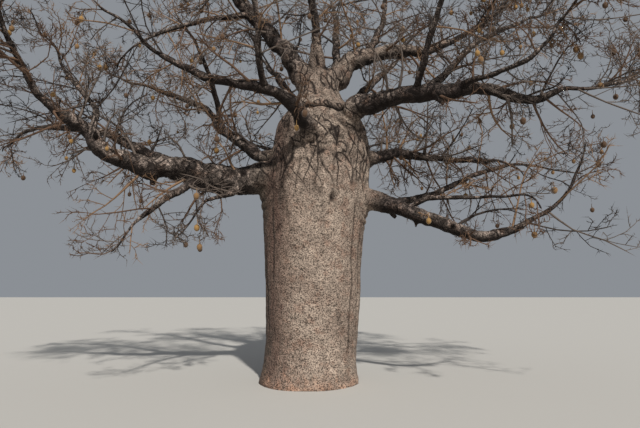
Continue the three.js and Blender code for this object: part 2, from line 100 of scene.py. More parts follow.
# Boughs: carrier, place on it, radii at root and tip, legs of heading, rise and length,
# reach of the mass of twigs past the tip, and how much its twigs bend up or down
LIMBS = {
    "left_low": ("trunk", 3700, (262, 75),
                 [(193, 0, 1650), (191, 6, 1250), (202, 2, 550), (207, 33, 1000), (215, 34, 650)],
                 2500, 0.12),
    "left_light": ("left_low", 0.52, (125, 52),
                   [(155, 28, 950), (160, 24, 1300), (168, 8, 1200)], 1700, -0.04),
    "left_droop": ("left_low", 0.4, (74, 32),
                   [(225, -28, 650), (232, -40, 600), (235, -40, 400)], 1500, -0.03),
    "left_spur": ("left_low", 0.26, (62, 28), [(240, -35, 550), (215, -24, 450)], 1050, -0.12),
    "left_riser": ("left_low", 0.84, (56, 34), [(75, 70, 450), (150, 45, 700), (155, 45, 700)], 1500, 0.05),
    "left_back": ("trunk", 3920, (142, 52),
                  [(157, 20, 1250), (150, 32, 1450), (140, 48, 850), (150, 27, 1900)], 2300, 0.04),
    "left_back_riser": ("left_back", 0.5, (66, 36),
                        [(215, 78, 400), (255, 52, 800), (225, 60, 500)], 1700, 0.1),
    "front_left": ("trunk", 4000, (142, 46),
                   [(256, 25, 1300), (240, 30, 450), (205, 14, 450), (177, 13, 1000), (168, 30, 1050)],
                   2000, 0.03),
    "front_shoot": ("front_left", 0.52, (52, 36),
                    [(262, 40, 500), (265, 62, 1000), (255, 58, 800)], 1900, 0.02),
    "leader_left": ("trunk", 5560, (205, 82), [(178, 50, 950), (166, 54, 1900), (155, 68, 750)], 1900, 0.05),
    "leader_left_side": ("leader_left", 0.6, (56, 34), [(197, 2, 400), (208, -26, 1100), (203, -30, 500)],
                         1500, -0.02),
    "middle_front": ("trunk", 5650, (88, 48), [(262, 66, 1100), (250, 70, 900), (285, 55, 900)], 2000, 0.02),
    "middle_back": ("right_high", 0.2, (92, 46), [(95, 55, 900), (85, 66, 1000), (95, 48, 900)], 2000, 0.03),
    "right_high": ("trunk", 5520, (200, 74), [(17, 47, 1000), (12, 30, 600), (5, 6, 1050), (0, 18, 600)],
                   2500, 0.1),
    "right_high_riser": ("right_high", 0.44, (82, 42),
                         [(42, 62, 600), (53, 58, 700), (72, 73, 850)], 1700, 0.05),
    "right_mid": ("trunk", 4650, (178, 44),
                  [(314, 12, 1250), (336, 1, 1400), (0, 1, 700), (8, -8, 750), (2, 18, 550)], 2300, -0.02),
    "right_mid_upper": ("right_mid", 0.48, (66, 38),
                        [(29, 42, 850), (24, 46, 700), (15, 37, 600), (20, 28, 700)], 2100, 0.03),
    "right_mid_shoot": ("right_mid", 0.45, (56, 36),
                        [(285, 48, 600), (292, 58, 800), (300, 45, 700)], 1900, 0.02),
    "right_mid_side": ("right_mid", 0.6, (50, 30), [(300, 6, 400), (322, 3, 700), (335, 36, 500)], 1700, 0),
    "right_gnarl": ("trunk", 3950, (175, 60), [(26, 18, 1000), (26, 13, 1150), (11, -3, 1100)], 2000, -0.08),
    "right_low": ("trunk", 3280, (180, 50),
                  [(349, -2, 1000), (336, -6, 500), (320, -28, 450), (335, -22, 1050),
                   (350, -5, 500), (0, 25, 600)],
                  1900, 0.04),
    "right_low_upper": ("right_low", 0.37, (68, 40),
                        [(42, 18, 700), (34, 14, 550), (28, 24, 1400), (16, 18, 750)], 2500, -0.03),
    "right_low_middle": ("right_low", 0.45, (50, 32), [(327, 22, 450), (330, -4, 800)], 1500, -0.03),
    "back_low": ("trunk", 4050, (190, 70), [(92, 10, 1400), (99, 20, 1200), (86, 26, 1200)], 2200, 0),
    "back_low_left": ("back_low", 0.48, (84, 42), [(140, 32, 900), (150, 22, 1000)], 2000, 0),
    "back_low_right": ("back_low", 0.56, (84, 42), [(48, 32, 900), (35, 18, 1100)], 2100, 0),
    "back_high_left": ("trunk", 4750, (120, 52),
                       [(122, 42, 1300), (128, 50, 1100), (118, 38, 900)], 2000, 0.05),
    "back_high_right": ("trunk", 4700, (124, 52),
                        [(50, 40, 1300), (44, 46, 1200), (56, 38, 900)], 2100, 0.05),
}

# How many twigs a mass's stem has and how many shoots its bough has, as shares of the full numbers
FULLNESS = {
    "left_low": (2.1, 1.6),
    "left_light": (0.5, 1.3),
    "left_droop": (0.45, 0.8),
    "left_spur": (0.42, 1),
    "left_riser": (0.65, 1.6),
    "left_back": (0.75, 1.2),
    "left_back_riser": (0.5, 0.9),
    "front_left": (0.45, 0.8),
    "front_shoot": (0.6, 1),
    "leader_left": (0.75, 1.8),
    "leader_left_side": (0.7, 1.2),
    "right_high": (2, 1.3),
    "right_high_riser": (1, 1.6),
    "right_mid": (1.4, 1.7),
    "right_mid_upper": (0.9, 1.5),
    "right_mid_shoot": (1.1, 0.9),
    "right_mid_side": (2, 1.1),
    "right_gnarl": (0.42, 3.2),
    "right_low": (0.45, 0.8),
    "right_low_upper": (0.42, 0.8),
    "right_low_middle": (0.42, 0.3),
    "back_low": (0.7, 1),
    "back_low_left": (0.45, 0.9),
    "back_low_right": (0.8, 1.2),
    "back_high_right": (0.75, 0.7),
}
USUAL = (0.75, 1)
# A mass below this share of its full number has fewer second twigs too
SPARSE_BELOW = 0.625

# How a bough is drawn, in millimetres and by shares of its radius
RING_SPACING = 400
FEWEST_RINGS = 4
TAPER_POWER = 1.4
FLARE = 0.45
FLARE_LENGTH = 1.3
CROOK = 0.3
KNOT = 0.07
LIMB_SEED = 4100
CURVE_TENSION = 0.5

# How twigs branch, by order from the stem of a mass to its finest twigs. The first three orders
# have the solids' sizes, and the first twigs on each parent are the solids' own.
TWIG_STEPS = (6, 3, 2, 3, 1)
TWIG_SIDES = (10, 5, 3, 3, 3)
ROUNDED_ORDERS = (1, 2)
SOLID_TWIGS = (5, 1)
TWIGS_PER_PARENT = (12, 6, 3, 2)
TWIG_BEND = (0.34, 0.42, 0.5, 0.6, 0.6)
TWIG_TILT = (52, 50, 48, 44)
TWIG_LENGTH = (0.78, 0.6, 0.52, 0.55)
TWIG_RADIUS = (0.55, 0.6, 0.75, 0.8)
TWIG_THINNEST = (12, 9, 6, 7, 6)
FIRST_TWIG = 0.12
LENGTH_SPREAD = 0.3
TIP_SHORTENING = 0.45
TILT_SPREAD = 14
GOLDEN_SHARE = 0.618
GOLDEN_TURN = 2.4
TURN_SPREAD = 0.7
STEM_SHARE = 0.92
STEM_LENGTH = 0.86
STEM_FOOT = 1.4
JOINT_GAP = 0.3
TRIES = 5
TWIG_CLEARANCE = 14
SPACE_MARGIN = 8
CENTRE_SHARE = 0.32
CENTRE_WEIGHT = 0.3
LOWEST_TWIG = 2100
LOWEST_SPREAD = 480
MASS_SEED = 7300
TWIG_SEED_STEP = 97

# Seeded random numbers, the same as the solids'
SEED_STEP = 0x6D2B79F5
SEED_MIX = 61
SEED_RANGE = 4294967296
SEED_MASK = 0xFFFFFFFF
CHILD_SEED_FACTOR = 0x9E3779B1

NEARLY_UPRIGHT = 0.9
NEARLY_PARALLEL = 1e-9
NEARLY_NOTHING = 1e-9

# Shoots along the boughs: spacing, length, thickness and tilt, in millimetres and degrees. The start
# is by the bough's radius, from its axis.
SHOOT_SPACING = 260
SHOOT_LENGTH = 1100
SHOOT_LENGTH_SPREAD = 0.45
SHOOT_RADIUS_SHARE = 0.36
SHOOT_RADII = (12, 32)
SHOOT_TILT = 62
SHOOT_FIRST = 0.16
SHOOT_START = 0.5
SHOOT_CLEAR_OF_TRUNK = 450
SHOOT_DEPTH_SHARE = 0.6
SHOOT_REACH = 1750
SHOOT_LIFT = -0.03
SHOOT_SEED = 9100
SHOOT_SEED_STEP = 131

# Spurs: the short bare ends that stand off the twigs, so many for each order, with sizes in metres
SPURS_BY_ORDER = {1: 8, 2: 5, 3: 2}
SPUR_LENGTHS = (0.05, 0.13)
SPUR_RADIUS = 0.005
SPUR_FORWARD = 0.6
SPUR_SIDES = 3

# The shapes under the bark, in millimetres
TRUNK_RING = 40
TRUNK_SIDES = 96
STATION_EASE = 160
STATION_STEP = 20
THICK_ROOT = 100
THICK_LIMBS = [name for name, limb in LIMBS.items() if limb[2][0] >= THICK_ROOT]
THICK_RING = 90
THICK_SIDES = 20
THINNEST_SKIN = 62
THIN_RING = 42
STEM_RING = 60
SWEEP_OVERLAP = 3
SWEEP_TUCK = 0.88
SWEEP_SIDE = 4
SWEEP_SIDES = (8, 20)
CROOK_EASE = 500
FINE_CROOK = 0.42
CROOK_SIZE = 0.42
STEM_SUNK = 60

# Broken stubs on the thick boughs: spacing, first place, size and length past the bark
STUB_SPACING = 800
STUB_FIRST = 0.28
STUB_RADIUS_SHARE, STUB_RADIUS_LEAST = 0.36, 36
STUB_LENGTHS = (50, 170)
STUB_TILT = 58
STUB_TAPER = (1.25, 1, 0.9, 0.72)
STUB_SIDES = 10
STUB_SEED = 5200

# The fork: the trunk's top runs on into the two leaders and the bough between them
FORK_HEIGHT, FORK_RADIUS = 5560, 300
FORK_LIMBS = {"leader_left": 0.3, "right_high": 0.3, "middle_front": 0.4}
FORK_STEPS, FORK_EASE = 5, 0.6

# One skin over trunk and thick boughs, in metres
SKIN_VOXEL = 0.0235
SKIN_SMOOTH = 0.5
SKIN_SMOOTH_TIMES = 3
FOOT_SNAP = 0.012
# A face is a bough's where so many of its corners are
LIMB_CORNERS = 2

# Bark relief in metres: the size and depth of each noise, by the bough's radius on the boughs
RELIEF_SEED = 515
NOISE_RANGE = 1.6
LUMP = (0.55, 0.016)
DENT = (0.2, 0.007)
ROUGHNESS = (0.075, 0.0035)
FOLD = ((0.2, 0.2, 1.3), 0.008)
WRINKLE = ((0.4, 0.4, 0.09), 0.0025)
LIMB_LUMP, LIMB_DENT = (0.3, 0.16), (0.12, 0.09)
SWEEP_LUMP, SWEEP_DENT = (0.3, 0.22), (0.11, 0.13)
RING_WARP = (0.6, 0.25)

# Shoulder, creases and rings round the boughs: depths and sizes in metres
SHOULDER_RANGE = (2.9, 3.9)
SHOULDER_LUMP, SHOULDER_LUMP_SIZE = 0.02, 0.3
CREASE_STEP, FLATTEST = 0.01, 0.5
CREASE_DEPTH, CREASE_SIZE, CREASE_WIDTH = 0.005, (0.6, 0.6, 1.0), 0.02
SHOULDER_CREASE, SHOULDER_CREASE_SIZE, SHOULDER_CREASE_WIDTH = 0.018, (0.3, 0.3, 0.6), 0.024
HANGING_CREASE_SIZE = (0.34, 0.34, 1.3)
CREASE_SLANT, CREASE_WARP = 0.55, (0.45, 0.12)
RING_DEPTH, RING_LENGTH = 0.006, 0.19
SWEEP_RING, SWEEP_RING_LENGTH = 0.05, 0.09
LIMB_CREASE, LIMB_EASE = 0.007, (0.05, 0.4)
GIRTH_FULL, GIRTH_LEAST = 0.2, 0.25
FOOT_EASE = 0.06

# Two values that the meshes carry for the bark: how much painted shade darkens it, and how much it is a
# bough's
PAINTED_SHADE_NAME, BOUGH_NAME = BARK_VALUES = ("painted_shade", "bough")

# How much painted shade each mark and the underside of a bough lay on the bark, where the fork turns to
# bough's bark (darker partly as painted shade from the crown), and the boughs that take only a share of it
LONG_DARK, CLOSE_DARK, FOLD_DARK, LIMB_DARK, FLUTE_DARK = 0.2, 0.45, 0.45, 0.4, 0.75
# Painted shade under the boughs: how fast it grows as the bark faces down, and its most
UNDER_SHADE = 1.5
MOST_UNDER_SHADE = 0.92
HIGH_BARK, HIGH_RANGE = 0.35, (4.9, 6.2)
PALE_LIMBS = {"right_high": 0.2}

# Folds under the boughs, by shares of each bough's radius
COLLAR_FOLD_DEPTH = 0.014
COLLAR_FOLD_NARROW, COLLAR_FOLD_BELOW = 0.8, 0.4
COLLAR_FOLD_START, COLLAR_FOLD_LENGTH = 1.3, 0.7
COLLAR_FOLD_MIDDLE, COLLAR_FOLD_RANGE = 1.9, 0.7
COLLAR_FOLD_WANDER = (0.4, 1.2)

# The fold round the neck, which waves and is uneven by noises of a size and an amount
NECK_HEIGHT, NECK_TILT, NECK_WAVE = 5.03, -0.11, (0.4, 0.1)
NECK_DEPTH, NECK_WIDTH = 0.09, 0.036
NECK_EVEN, NECK_UNEVEN, NECK_LEAST = 1.3, (0.4, 0.8), 0.3
# How dark the painted shadow in the neck's slit is
NECK_DARK = 1.5
NECK_ROLL, NECK_ROLL_RISE = 0.022, 0.14

# Flutes down the trunk: turn and width in degrees, depth, and heights of the two ends
FLUTES = [(322, 1.4, 0.02, 0.3, 3.4), (336, 1.3, 0.018, 0.8, 3.1), (346, 1.8, 0.016, 1.4, 3.3),
          (222, 1.3, 0.012, 1.5, 3.4), (205, 1.6, 0.012, 0.5, 2.6), (40, 1.8, 0.018, 0.3, 2.8),
          (95, 1.5, 0.016, 0.6, 3.2), (150, 1.8, 0.016, 0.4, 2.7)]
FLUTE_EASE, FLUTE_WANDER = 0.5, (0.7, 0.05)

# Knots: turn in degrees, height, half width, half height and depth
KNOTS = [(289.5, 3.22, 0.045, 0.085, 0.08), (247, 2.35, 0.07, 0.05, 0.012), (306, 1.15, 0.05, 0.06, 0.01),
         (75, 2.1, 0.08, 0.07, 0.03), (160, 1.5, 0.06, 0.09, 0.02), (20, 2.6, 0.07, 0.06, 0.025)]
KNOT_HOLLOW, KNOT_RIM, KNOT_RIM_AT, KNOT_RIM_WIDTH = 1.0, 0.3, 1.5, 0.4
# Knot hollows take painted shade by their depth, all of it from this depth
KNOT_DARK_DEPTH = 0.06
# The trunk's marks end this far outside its oval
MARKS_OUTSIDE = 0.12

# Fruit and stalk as in the solids, in millimetres
FRUIT_HALF_LENGTH = 66
FRUIT_HALF_WIDTH = 53
STALK_LENGTH = 80
STALK_RADIUS = 6

# Every so many of the solids' twigs bear one, and so large a share of the others of some order
FRUIT_EVERY = 3
FRUIT_ORDER, MORE_FRUIT = 2, 0.006
FRUIT_SEED = 61

# The shape of a fruit, by shares of the solids' sizes, and its dents' size in metres and depth
FRUIT_SIZES = (0.6, 0.95)
FRUIT_RINGS = 11
FRUIT_SIDES = 14
FRUIT_TUCK, FRUIT_TIP, FRUIT_TOP_HEAVY = 0.04, 0.02, 0.08
FRUIT_RIDGES, FRUIT_RIDGE_DEPTH = 5, 0.025
FRUIT_DENT = (0.07, 0.05)
STALK_SIDES, STALK_SWAY = 5, 0.12
STALK_TAPER = (0.8, 0.8, 1.5)

# The masses by piece of the scene
GROUPS = {
    "crown_left": ["left_low", "left_light", "left_droop", "left_spur", "left_riser"],
    "crown_left_back": ["left_back", "left_back_riser", "back_high_left", "back_low_left"],
    "crown_middle": ["front_left", "front_shoot", "leader_left", "leader_left_side", "middle_front",
                     "middle_back"],
    "crown_right_top": ["right_high", "right_high_riser", "right_mid_upper", "right_mid_shoot"],
    "crown_right": ["right_mid", "right_mid_side", "right_gnarl", "right_low", "right_low_upper",
                    "right_low_middle"],
    "crown_back": ["back_low", "back_low_right", "back_high_right"],
}

# Plain base colours of the twigs and the fruit, with their shares of the sprays and the fruits
TWIG_COLOURS = {
    "twig_grey": (0.125, 0.098, 0.082),
    "twig_brown": (0.118, 0.07, 0.045),
    "twig_tan": (0.22, 0.135, 0.08),
    "twig_dark": (0.042, 0.031, 0.026),
}
# The fruit's colours are partly their own and partly painted light: ochre stands for sunlit fruit, the dark
# brown for fruit in shade
FRUIT_COLOURS = {
    "fruit_ochre_lit": (0.29, 0.165, 0.052),
    "fruit_brown_shaded": (0.085, 0.045, 0.022),
    "fruit_tan": (0.2, 0.112, 0.045),
}
TWIG_SHARES = (0.32, 0.3, 0.2, 0.18)
FRUIT_SHARES = (0.32, 0.42, 0.26)
# How much thinner than its knobs a twig gets between them
TWIG_KNOBS = 0.24

# Tones of the bark: main, pale and warm on the trunk and the boughs, then the trunk's own stains and painted
# shade
TRUNK_TONES = [(0.238, 0.183, 0.148), (0.305, 0.242, 0.197), (0.222, 0.142, 0.107)]
# The boughs' tones are dark partly for their own greyer bark and partly as painted shade
BOUGH_TONES = [(0.056, 0.043, 0.038), (0.17, 0.137, 0.118), (0.098, 0.059, 0.041)]
# A redder side: a real stain, darkened with painted shade on the side away from the light
RED_SHADED = (0.138, 0.088, 0.07)
# A greyer, darker far edge: painted shade
EDGE_SHADE = (0.098, 0.082, 0.064)
SOIL_STAIN = (0.36, 0.215, 0.15)
# Near-black painted shade, laid in creases, cracks, folds, flutes, the neck's slit, knot hollows and under
# the boughs
PAINTED_SHADE_BARK = (0.014, 0.01, 0.0085)

# Every surface's roughness and shine, its bumps' noises with depth and strength, and its sheen
BARK_SURFACE = (0.88, 0.2)
TWIG_SURFACE = (0.8, 0.3, [((0.02, 3, 0.6), 0.004, 0.6)])
FRUIT_SURFACE = (0.75, 0.3, [((0.012, 4, 0.65), 0.003, 0.7), ((0.05, 2, 0.5), 0.008, 0.4)], 0.25)
FLOOR_SURFACE = (0.9, 0.2)

# The bark's noises: size in metres, detail, roughness and distortion
BARK_NOISES = {
    "broad": (0.62, 4, 0.6, 0.4),
    "patchy": (0.21, 4, 0.62, 0.3),
    "coarse": (0.085, 3, 0.6),
    "fine": (0.04, 4, 0.7),
    "specks": ((0.022, 0.022, 0.019), 2, 0.6, 0.3),
    "streaks": ((0.09, 0.09, 0.8), 3, 0.6),
    "bands": ((0.5, 0.5, 0.07), 3, 0.6),
    "gaps": (0.3, 2, 0.55),
}
PIT_SIZE, PIT_SOFTNESS = 0.03, 0.6

# What is made of them: the noise, the range read from it, and the levels at that range's two ends
BARK_RAMPS = {
    "pale": ("broad", 0.4, 0.6),
    "warm": ("patchy", 0.49, 0.68, 0, 0.7),
    "streaky": ("streaks", 0.36, 0.62, 0.6, 1),
    "fine tint": ("fine", 0.42, 0.54, 0.45, 1.15),
    "broken": ("gaps", 0.38, 0.5),
    "split": ("patchy", 0.42, 0.6, 0.2, 0.9),
    "rough": ("fine", 0.2, 0.8, 0.76, 0.96),
}
BARK_SHADES = [
    ("specks", 0.38, 0.56, 0.25, 1.3),
    ("pits", 0.05, 0.32, 0.55, 1.06),
    ("coarse", 0.3, 0.7, 0.8, 1.16),
    ("streaks", 0.3, 0.7, 0.9, 1.09),
    ("bands", 0.3, 0.7, 0.92, 1.07),
]
BARK_BUMPS = [("coarse", 0.03, 0.6), ("pits", 0.014, 0.8), ("specks", 0.01, 0.9), ("fine", 0.008, 0.6)]

# Stains and painted shade on the trunk: axis, how far the patches move its edge, range along the axis, and
# levels
# The redder side is a real stain deepened by painted shade; the greyer far edge is painted shade; the foot's
# is the soil's stain
RED_SHADED_SIDE = ("X", 0.9, -0.6, -0.16, 1, 0)
SHADED_EDGE = ("X", 0.9, -0.95, -0.6, 0.85, 0)
STAINED_FOOT = ("Z", 1.6, -0.2, 0.26, 0.75, 0)

# Cracks: size of the cells, how far they are warped, lean, size of the warp, and the cracks' width
SHOULDER_CRACKS = [((0.32, 0.32, 9.0), 0.4, -0.55, 0.5), ((0.27, 0.27, 9.0), 0.3, 0.1, 0.45)]
SHOULDER_CRACK_WIDTH = 0.07
BOUGH_BLOCKS, BOUGH_SPLIT_WIDTH = ((0.075, 0.075, 0.09), 0.1, 0, 0.2), 0.09
BLOCK_TINTS = (0.25, 0.75, 0.5, 1.7)
CRACK_DEPTH, CRACK_STRENGTH = 0.02, 0.8

# Stage, light and the camera's reach
FLOOR_HALF = 140.0
FLOOR_COLOUR = (0.5, 0.485, 0.46)
WORLD_COLOUR = (0.86, 0.92, 1.0)
WORLD_STRENGTH = 0.3
KEY_FROM = (0.22, -0.75, 0.63)
KEY_SOFTNESS = 2
KEY_STRENGTH = 3.9
KEY_COLOUR = (1.0, 0.965, 0.9)
CAMERA_FAR = 400.0


def random_from(seed):
    """Draws numbers from 0 to 1, the same for the same seed."""
    state = seed & SEED_MASK
    while True:
        state = (state + SEED_STEP) & SEED_MASK
        mixed = ((state ^ (state >> 15)) * (state | 1)) & SEED_MASK
        mixed ^= (mixed + ((mixed ^ (mixed >> 7)) * (mixed | SEED_MIX) & SEED_MASK)) & SEED_MASK
        yield (mixed ^ (mixed >> 14)) / SEED_RANGE


def spread(random, amount):
    return (next(random) * 2 - 1) * amount


def jolt(random, amount):
    return np.array([spread(random, amount), spread(random, amount), spread(random, amount)])


def unit(vector):
    return vector / math.sqrt(vector @ vector)


def heading_vector(heading, rise):
    turn = math.radians(heading)
    slope = math.radians(rise)
    return np.array([math.cos(turn) * math.cos(slope), math.sin(turn) * math.cos(slope), math.sin(slope)])


def sideways(direction, turn):
    """A unit vector square to the direction, turned round it."""
    upright = abs(direction[2]) >= NEARLY_UPRIGHT
    helper = np.array([1.0, 0, 0]) if upright else np.array([0, 0, 1.0])
    side = unit(np.cross(helper, direction))
    return side * math.cos(turn) + np.cross(direction, side) * math.sin(turn)


def leaning(along, degrees, turn):
    """A direction that leans away from another, turned round it."""
    tilt = math.radians(degrees)
    return along * math.cos(tilt) + sideways(along, turn) * math.sin(tilt)


def steps_of(points):
    return np.linalg.norm(np.diff(points, axis=0), axis=1)


def along_line(points, radii, share):
    """The place, direction and radius at a share of the way along a line of points."""
    steps = steps_of(points)
    left = share * steps.sum()
    for i, step in enumerate(steps):
        if left <= step or i == len(steps) - 1:
            part = min(left / step, 1)
            point = points[i] + (points[i + 1] - points[i]) * part
            return point, unit(points[i + 1] - points[i]), radii[i] + (radii[i + 1] - radii[i]) * part
        left -= step


def curve_points(corners, divisions):
    """Evenly numbered places on a smooth curve through the corners."""
    last = len(corners) - 1
    places = []
    for k in range(divisions + 1):
        at = last * k / divisions
        i = min(int(at), last - 1)
        t = at - i
        p1, p2 = corners[i], corners[i + 1]
        p0 = corners[i - 1] if i > 0 else 2 * corners[0] - corners[1]
        p3 = corners[i + 2] if i + 2 <= last else 2 * corners[last] - corners[last - 1]
        t0 = CURVE_TENSION * (p2 - p0)
        t1 = CURVE_TENSION * (p3 - p1)
        bend = -3 * p1 + 3 * p2 - 2 * t0 - t1
        turn = 2 * p1 - 2 * p2 + t0 + t1
        places.append(p1 + t0 * t + bend * t * t + turn * t ** 3)
    return np.array(places)


# Trunk and limbs in millimetres

def trunk_station(height):
    """The trunk's half width, half depth and axis at a height."""
    heights = [row[0] for row in TRUNK_STATIONS]
    return [np.interp(height, heights, [row[i] for row in TRUNK_STATIONS]) for i in range(1, 5)]


def limb_line(name, index, lines):
    """The places and radii of one bough's rings."""
    carrier, at, (root, tip), legs, _, _ = LIMBS[name]
    if carrier == "trunk":
        half_width, _, across, back = trunk_station(at)
        start, inside = np.array([across, back, at], float), half_width
    else:
        start, _, inside = along_line(*lines[carrier], at)
    corners = [start]
    for heading, rise, length in legs:
        corners.append(corners[-1] + heading_vector(heading, rise) * length)
    corners = np.array(corners)
    rings = max(FEWEST_RINGS, math.floor(steps_of(corners).sum() / RING_SPACING + 0.5))
    random = random_from(LIMB_SEED + index)
    points = curve_points(corners, rings)
    radii = np.array([tip + (root - tip) * (1 - (i / rings) ** TAPER_POWER) for i in range(rings + 1)])
    for i in range(rings + 1):
        crook = jolt(random, CROOK * radii[i])
        knot = 1 + spread(random, KNOT)
        if 1 < i < rings - 1:
            points[i] += crook
            radii[i] *= knot
        outside = max(np.linalg.norm(points[i] - start) - inside, 0)
        radii[i] *= 1 + FLARE * math.exp(-outside / (FLARE_LENGTH * root))
    return points, radii


def limb_lines():
    """Every bough's line, once that of its carrier is there."""
    lines = {}
    while len(lines) < len(LIMBS):
        for index, (name, limb) in enumerate(LIMBS.items()):
            if name not in lines and limb[0] in ("trunk", *lines):
                lines[name] = limb_line(name, index, lines)
    return lines


class Obstacles:
    """The trunk and boughs as rounded straight pieces that no twig may touch."""

    def __init__(self, lines):
        starts, ends, radii, owners = [], [], [], []
        for name, (points, ring_radii) in lines.items():
            starts.extend(points[:-1])
            ends.extend(points[1:])
            radii.extend(np.maximum(ring_radii[:-1], ring_radii[1:]))
            owners.extend([name] * (len(points) - 1))
        for low, high in zip(TRUNK_STATIONS, TRUNK_STATIONS[1:]):
            starts.append((low[3], low[4], low[0]))
            ends.append((high[3], high[4], high[0]))
            radii.append(max(low[1], low[2], high[1], high[2]) * SWOLLEN)
            owners.append("trunk")
        self.start = np.array(starts, float)
        self.run = np.array(ends, float) - self.start
        self.radius = np.array(radii, float)
        self.owner = np.array(owners)
        self.run_sq = (self.run ** 2).sum(axis=1)

    def distance(self, a0, a1):
        """How far one straight step stays from the axis of every piece."""
        a = a1 - a0
        between = a0 - self.start
        aa = a @ a
        ab = self.run @ a
        a_between = between @ a
        b_between = (between * self.run).sum(axis=1)
        spread_out = aa * self.run_sq - ab ** 2
        parallel = spread_out <= NEARLY_PARALLEL * aa * self.run_sq
        safe = np.where(parallel, 1.0, spread_out)
        s = np.where(parallel, 0.0, np.clip((ab * b_between - a_between * self.run_sq) / safe, 0, 1))
        t = np.clip((ab * s + b_between) / self.run_sq, 0, 1)
        s = np.clip((ab * t - a_between) / aa, 0, 1)
        gap = between + s[:, None] * a - t[:, None] * self.run
        return np.sqrt((gap ** 2).sum(axis=1))

    def clear(self, a0, a1, radius, spared):
        enough = self.distance(a0, a1) > radius + self.radius + TWIG_CLEARANCE
        return bool((enough | (self.owner == spared)).all())


class Mass:
    """One mass of twigs: where its stem starts, how far it reaches, and its own space.

    Its twigs, past the stem, have no step that may touch their own bough.
    """

    spared_steps = 0

    def __init__(self, name, index, line):
        points, radii = line
        self.limb = name
        self.tip = points[-1]
        self.heading = unit(points[-1] - points[-2])
        self.stem_radius = radii[-1] * STEM_SHARE
        self.reach, self.lift = LIMBS[name][4:]
        self.seed = MASS_SEED + index * TWIG_SEED_STEP
        self.centre = self.tip + self.heading * self.reach * CENTRE_SHARE

    def inside(self, point, radius):
        return spaces.inside(self, point, radius)


class Spaces:
    """Shares the crown out among the masses."""

    def __init__(self, masses):
        self.masses = masses
        self.centres = np.array([mass.centre for mass in masses])
        self.weights = np.array([(mass.reach * CENTRE_WEIGHT) ** 2 for mass in masses])

    def powers(self, point):
        return ((self.centres - point) ** 2).sum(axis=1) - self.weights

    def inside(self, mass, point, radius):
        if point[2] - radius < LOWEST_TWIG:
            return False
        if np.linalg.norm(point - mass.tip) + radius > mass.reach:
            return False
        own = self.masses.index(mass)
        powers = self.powers(point)
        margins = 2 * np.linalg.norm(self.centres - mass.centre, axis=1) * (radius + SPACE_MARGIN)
        enough = powers - powers[own] > margins
        enough[own] = True
        return bool(enough.all())


# A twig's line, with its order, its mass, its spray, and whether it is one of the solids' own
Twig = namedtuple("Twig", "points radii order mass spray own")


BOX_LOW, BOX_HIGH = np.array(CAD_BOX) / MM


def within_box(point, radius):
    return bool((point - radius > BOX_LOW).all() and (point + radius < BOX_HIGH).all())


def grow_line(start, direction, mass, order, length, radius, seed, own):
    """The points of one twig, in millimetres, as far as its mass and the boughs leave room."""
    random = random_from(seed)
    steps = TWIG_STEPS[order]
    points = [start]
    if order == 0:
        points.append(start + direction * STEM_FOOT * radius)
    most = len(points) + steps
    lowest = 0 if own else LOWEST_TWIG + next(random) * LOWEST_SPREAD
    spare_at = 2 if order == 0 else mass.spared_steps
    while len(points) < most:
        step = None
        for attempt in range(TRIES):
            bent = direction + jolt(random, TWIG_BEND[order] * (1 + attempt / TRIES))
            bent[2] += mass.lift
            bent = unit(bent)
            end = points[-1] + bent * (length / steps)
            spared = mass.limb if len(points) == spare_at and order <= 1 else ""
            roomy = mass.inside(end, radius) and (own or within_box(end, radius))
            roomy = roomy and end[2] > min(lowest, start[2])
            if roomy and obstacles.clear(points[-1], end, radius, spared):
                step = end
                direction = bent
                break
        if step is None:
            break
        points.append(step)
    return np.array(points)


def grow_twig(start, direction, mass, order, length, radius, seed, own, spray, twigs):
    """Adds a twig and all that grow on it to the twigs."""
    points = grow_line(start, direction, mass, order, length, radius, seed, own)
    if len(points) < 2:
        return
    radii = np.linspace(radius, TWIG_THINNEST[order], len(points))
    twigs.append(Twig(points, radii, order, mass, spray, own))
    if order == len(TWIG_STEPS) - 1:
        return
    random = random_from(seed + 1)
    first_turn = next(random) * 2 * math.pi
    count = TWIGS_PER_PARENT[order]
    fullness = FULLNESS.get(mass.limb, USUAL)[0]
    if order == 0:
        count = max(round(count * fullness), SOLID_TWIGS[0])
    elif order == 1 and mass.spared_steps == 0:
        count = round(count * min(fullness / SPARSE_BELOW, 1))
    for k in range(count):
        share = FIRST_TWIG + (1 - FIRST_TWIG) * (((k + 1) * GOLDEN_SHARE) % 1)
        place, along, thick = along_line(points, radii, share)
        turn = first_turn + k * GOLDEN_TURN + spread(random, TURN_SPREAD)
        heading = leaning(along, TWIG_TILT[order] + spread(random, TILT_SPREAD), turn)
        full = length * TWIG_LENGTH[order] * (1 - TIP_SHORTENING * share)
        long = full * (1 + spread(random, LENGTH_SPREAD))
        thin = max(thick * TWIG_RADIUS[order], TWIG_THINNEST[order + 1])
        child_seed = ((seed + k + 1) * CHILD_SEED_FACTOR) & SEED_MASK
        child_own = own and order < len(SOLID_TWIGS) and k < SOLID_TWIGS[order]
        grow_twig(place, heading, mass, order + 1, long, thin, child_seed, child_own,
                  k if order == 0 else spray, twigs)


def grow_mass(mass):
    """Every twig of one mass, from its stem out."""
    twigs = []
    grow_twig(mass.tip + mass.heading * JOINT_GAP, mass.heading, mass, 0, mass.reach * STEM_LENGTH,
              mass.stem_radius, mass.seed, True, 0, twigs)
    return twigs


class Shoot:
    """The room of one side shoot of a bough, whose first step may touch the bough."""

    spared_steps = 1

    def __init__(self, limb, start):
        self.limb = limb
        self.start = start
        self.lift = SHOOT_LIFT

    def inside(self, point, radius):
        return point[2] - radius > LOWEST_TWIG and np.linalg.norm(point - self.start) < SHOOT_REACH


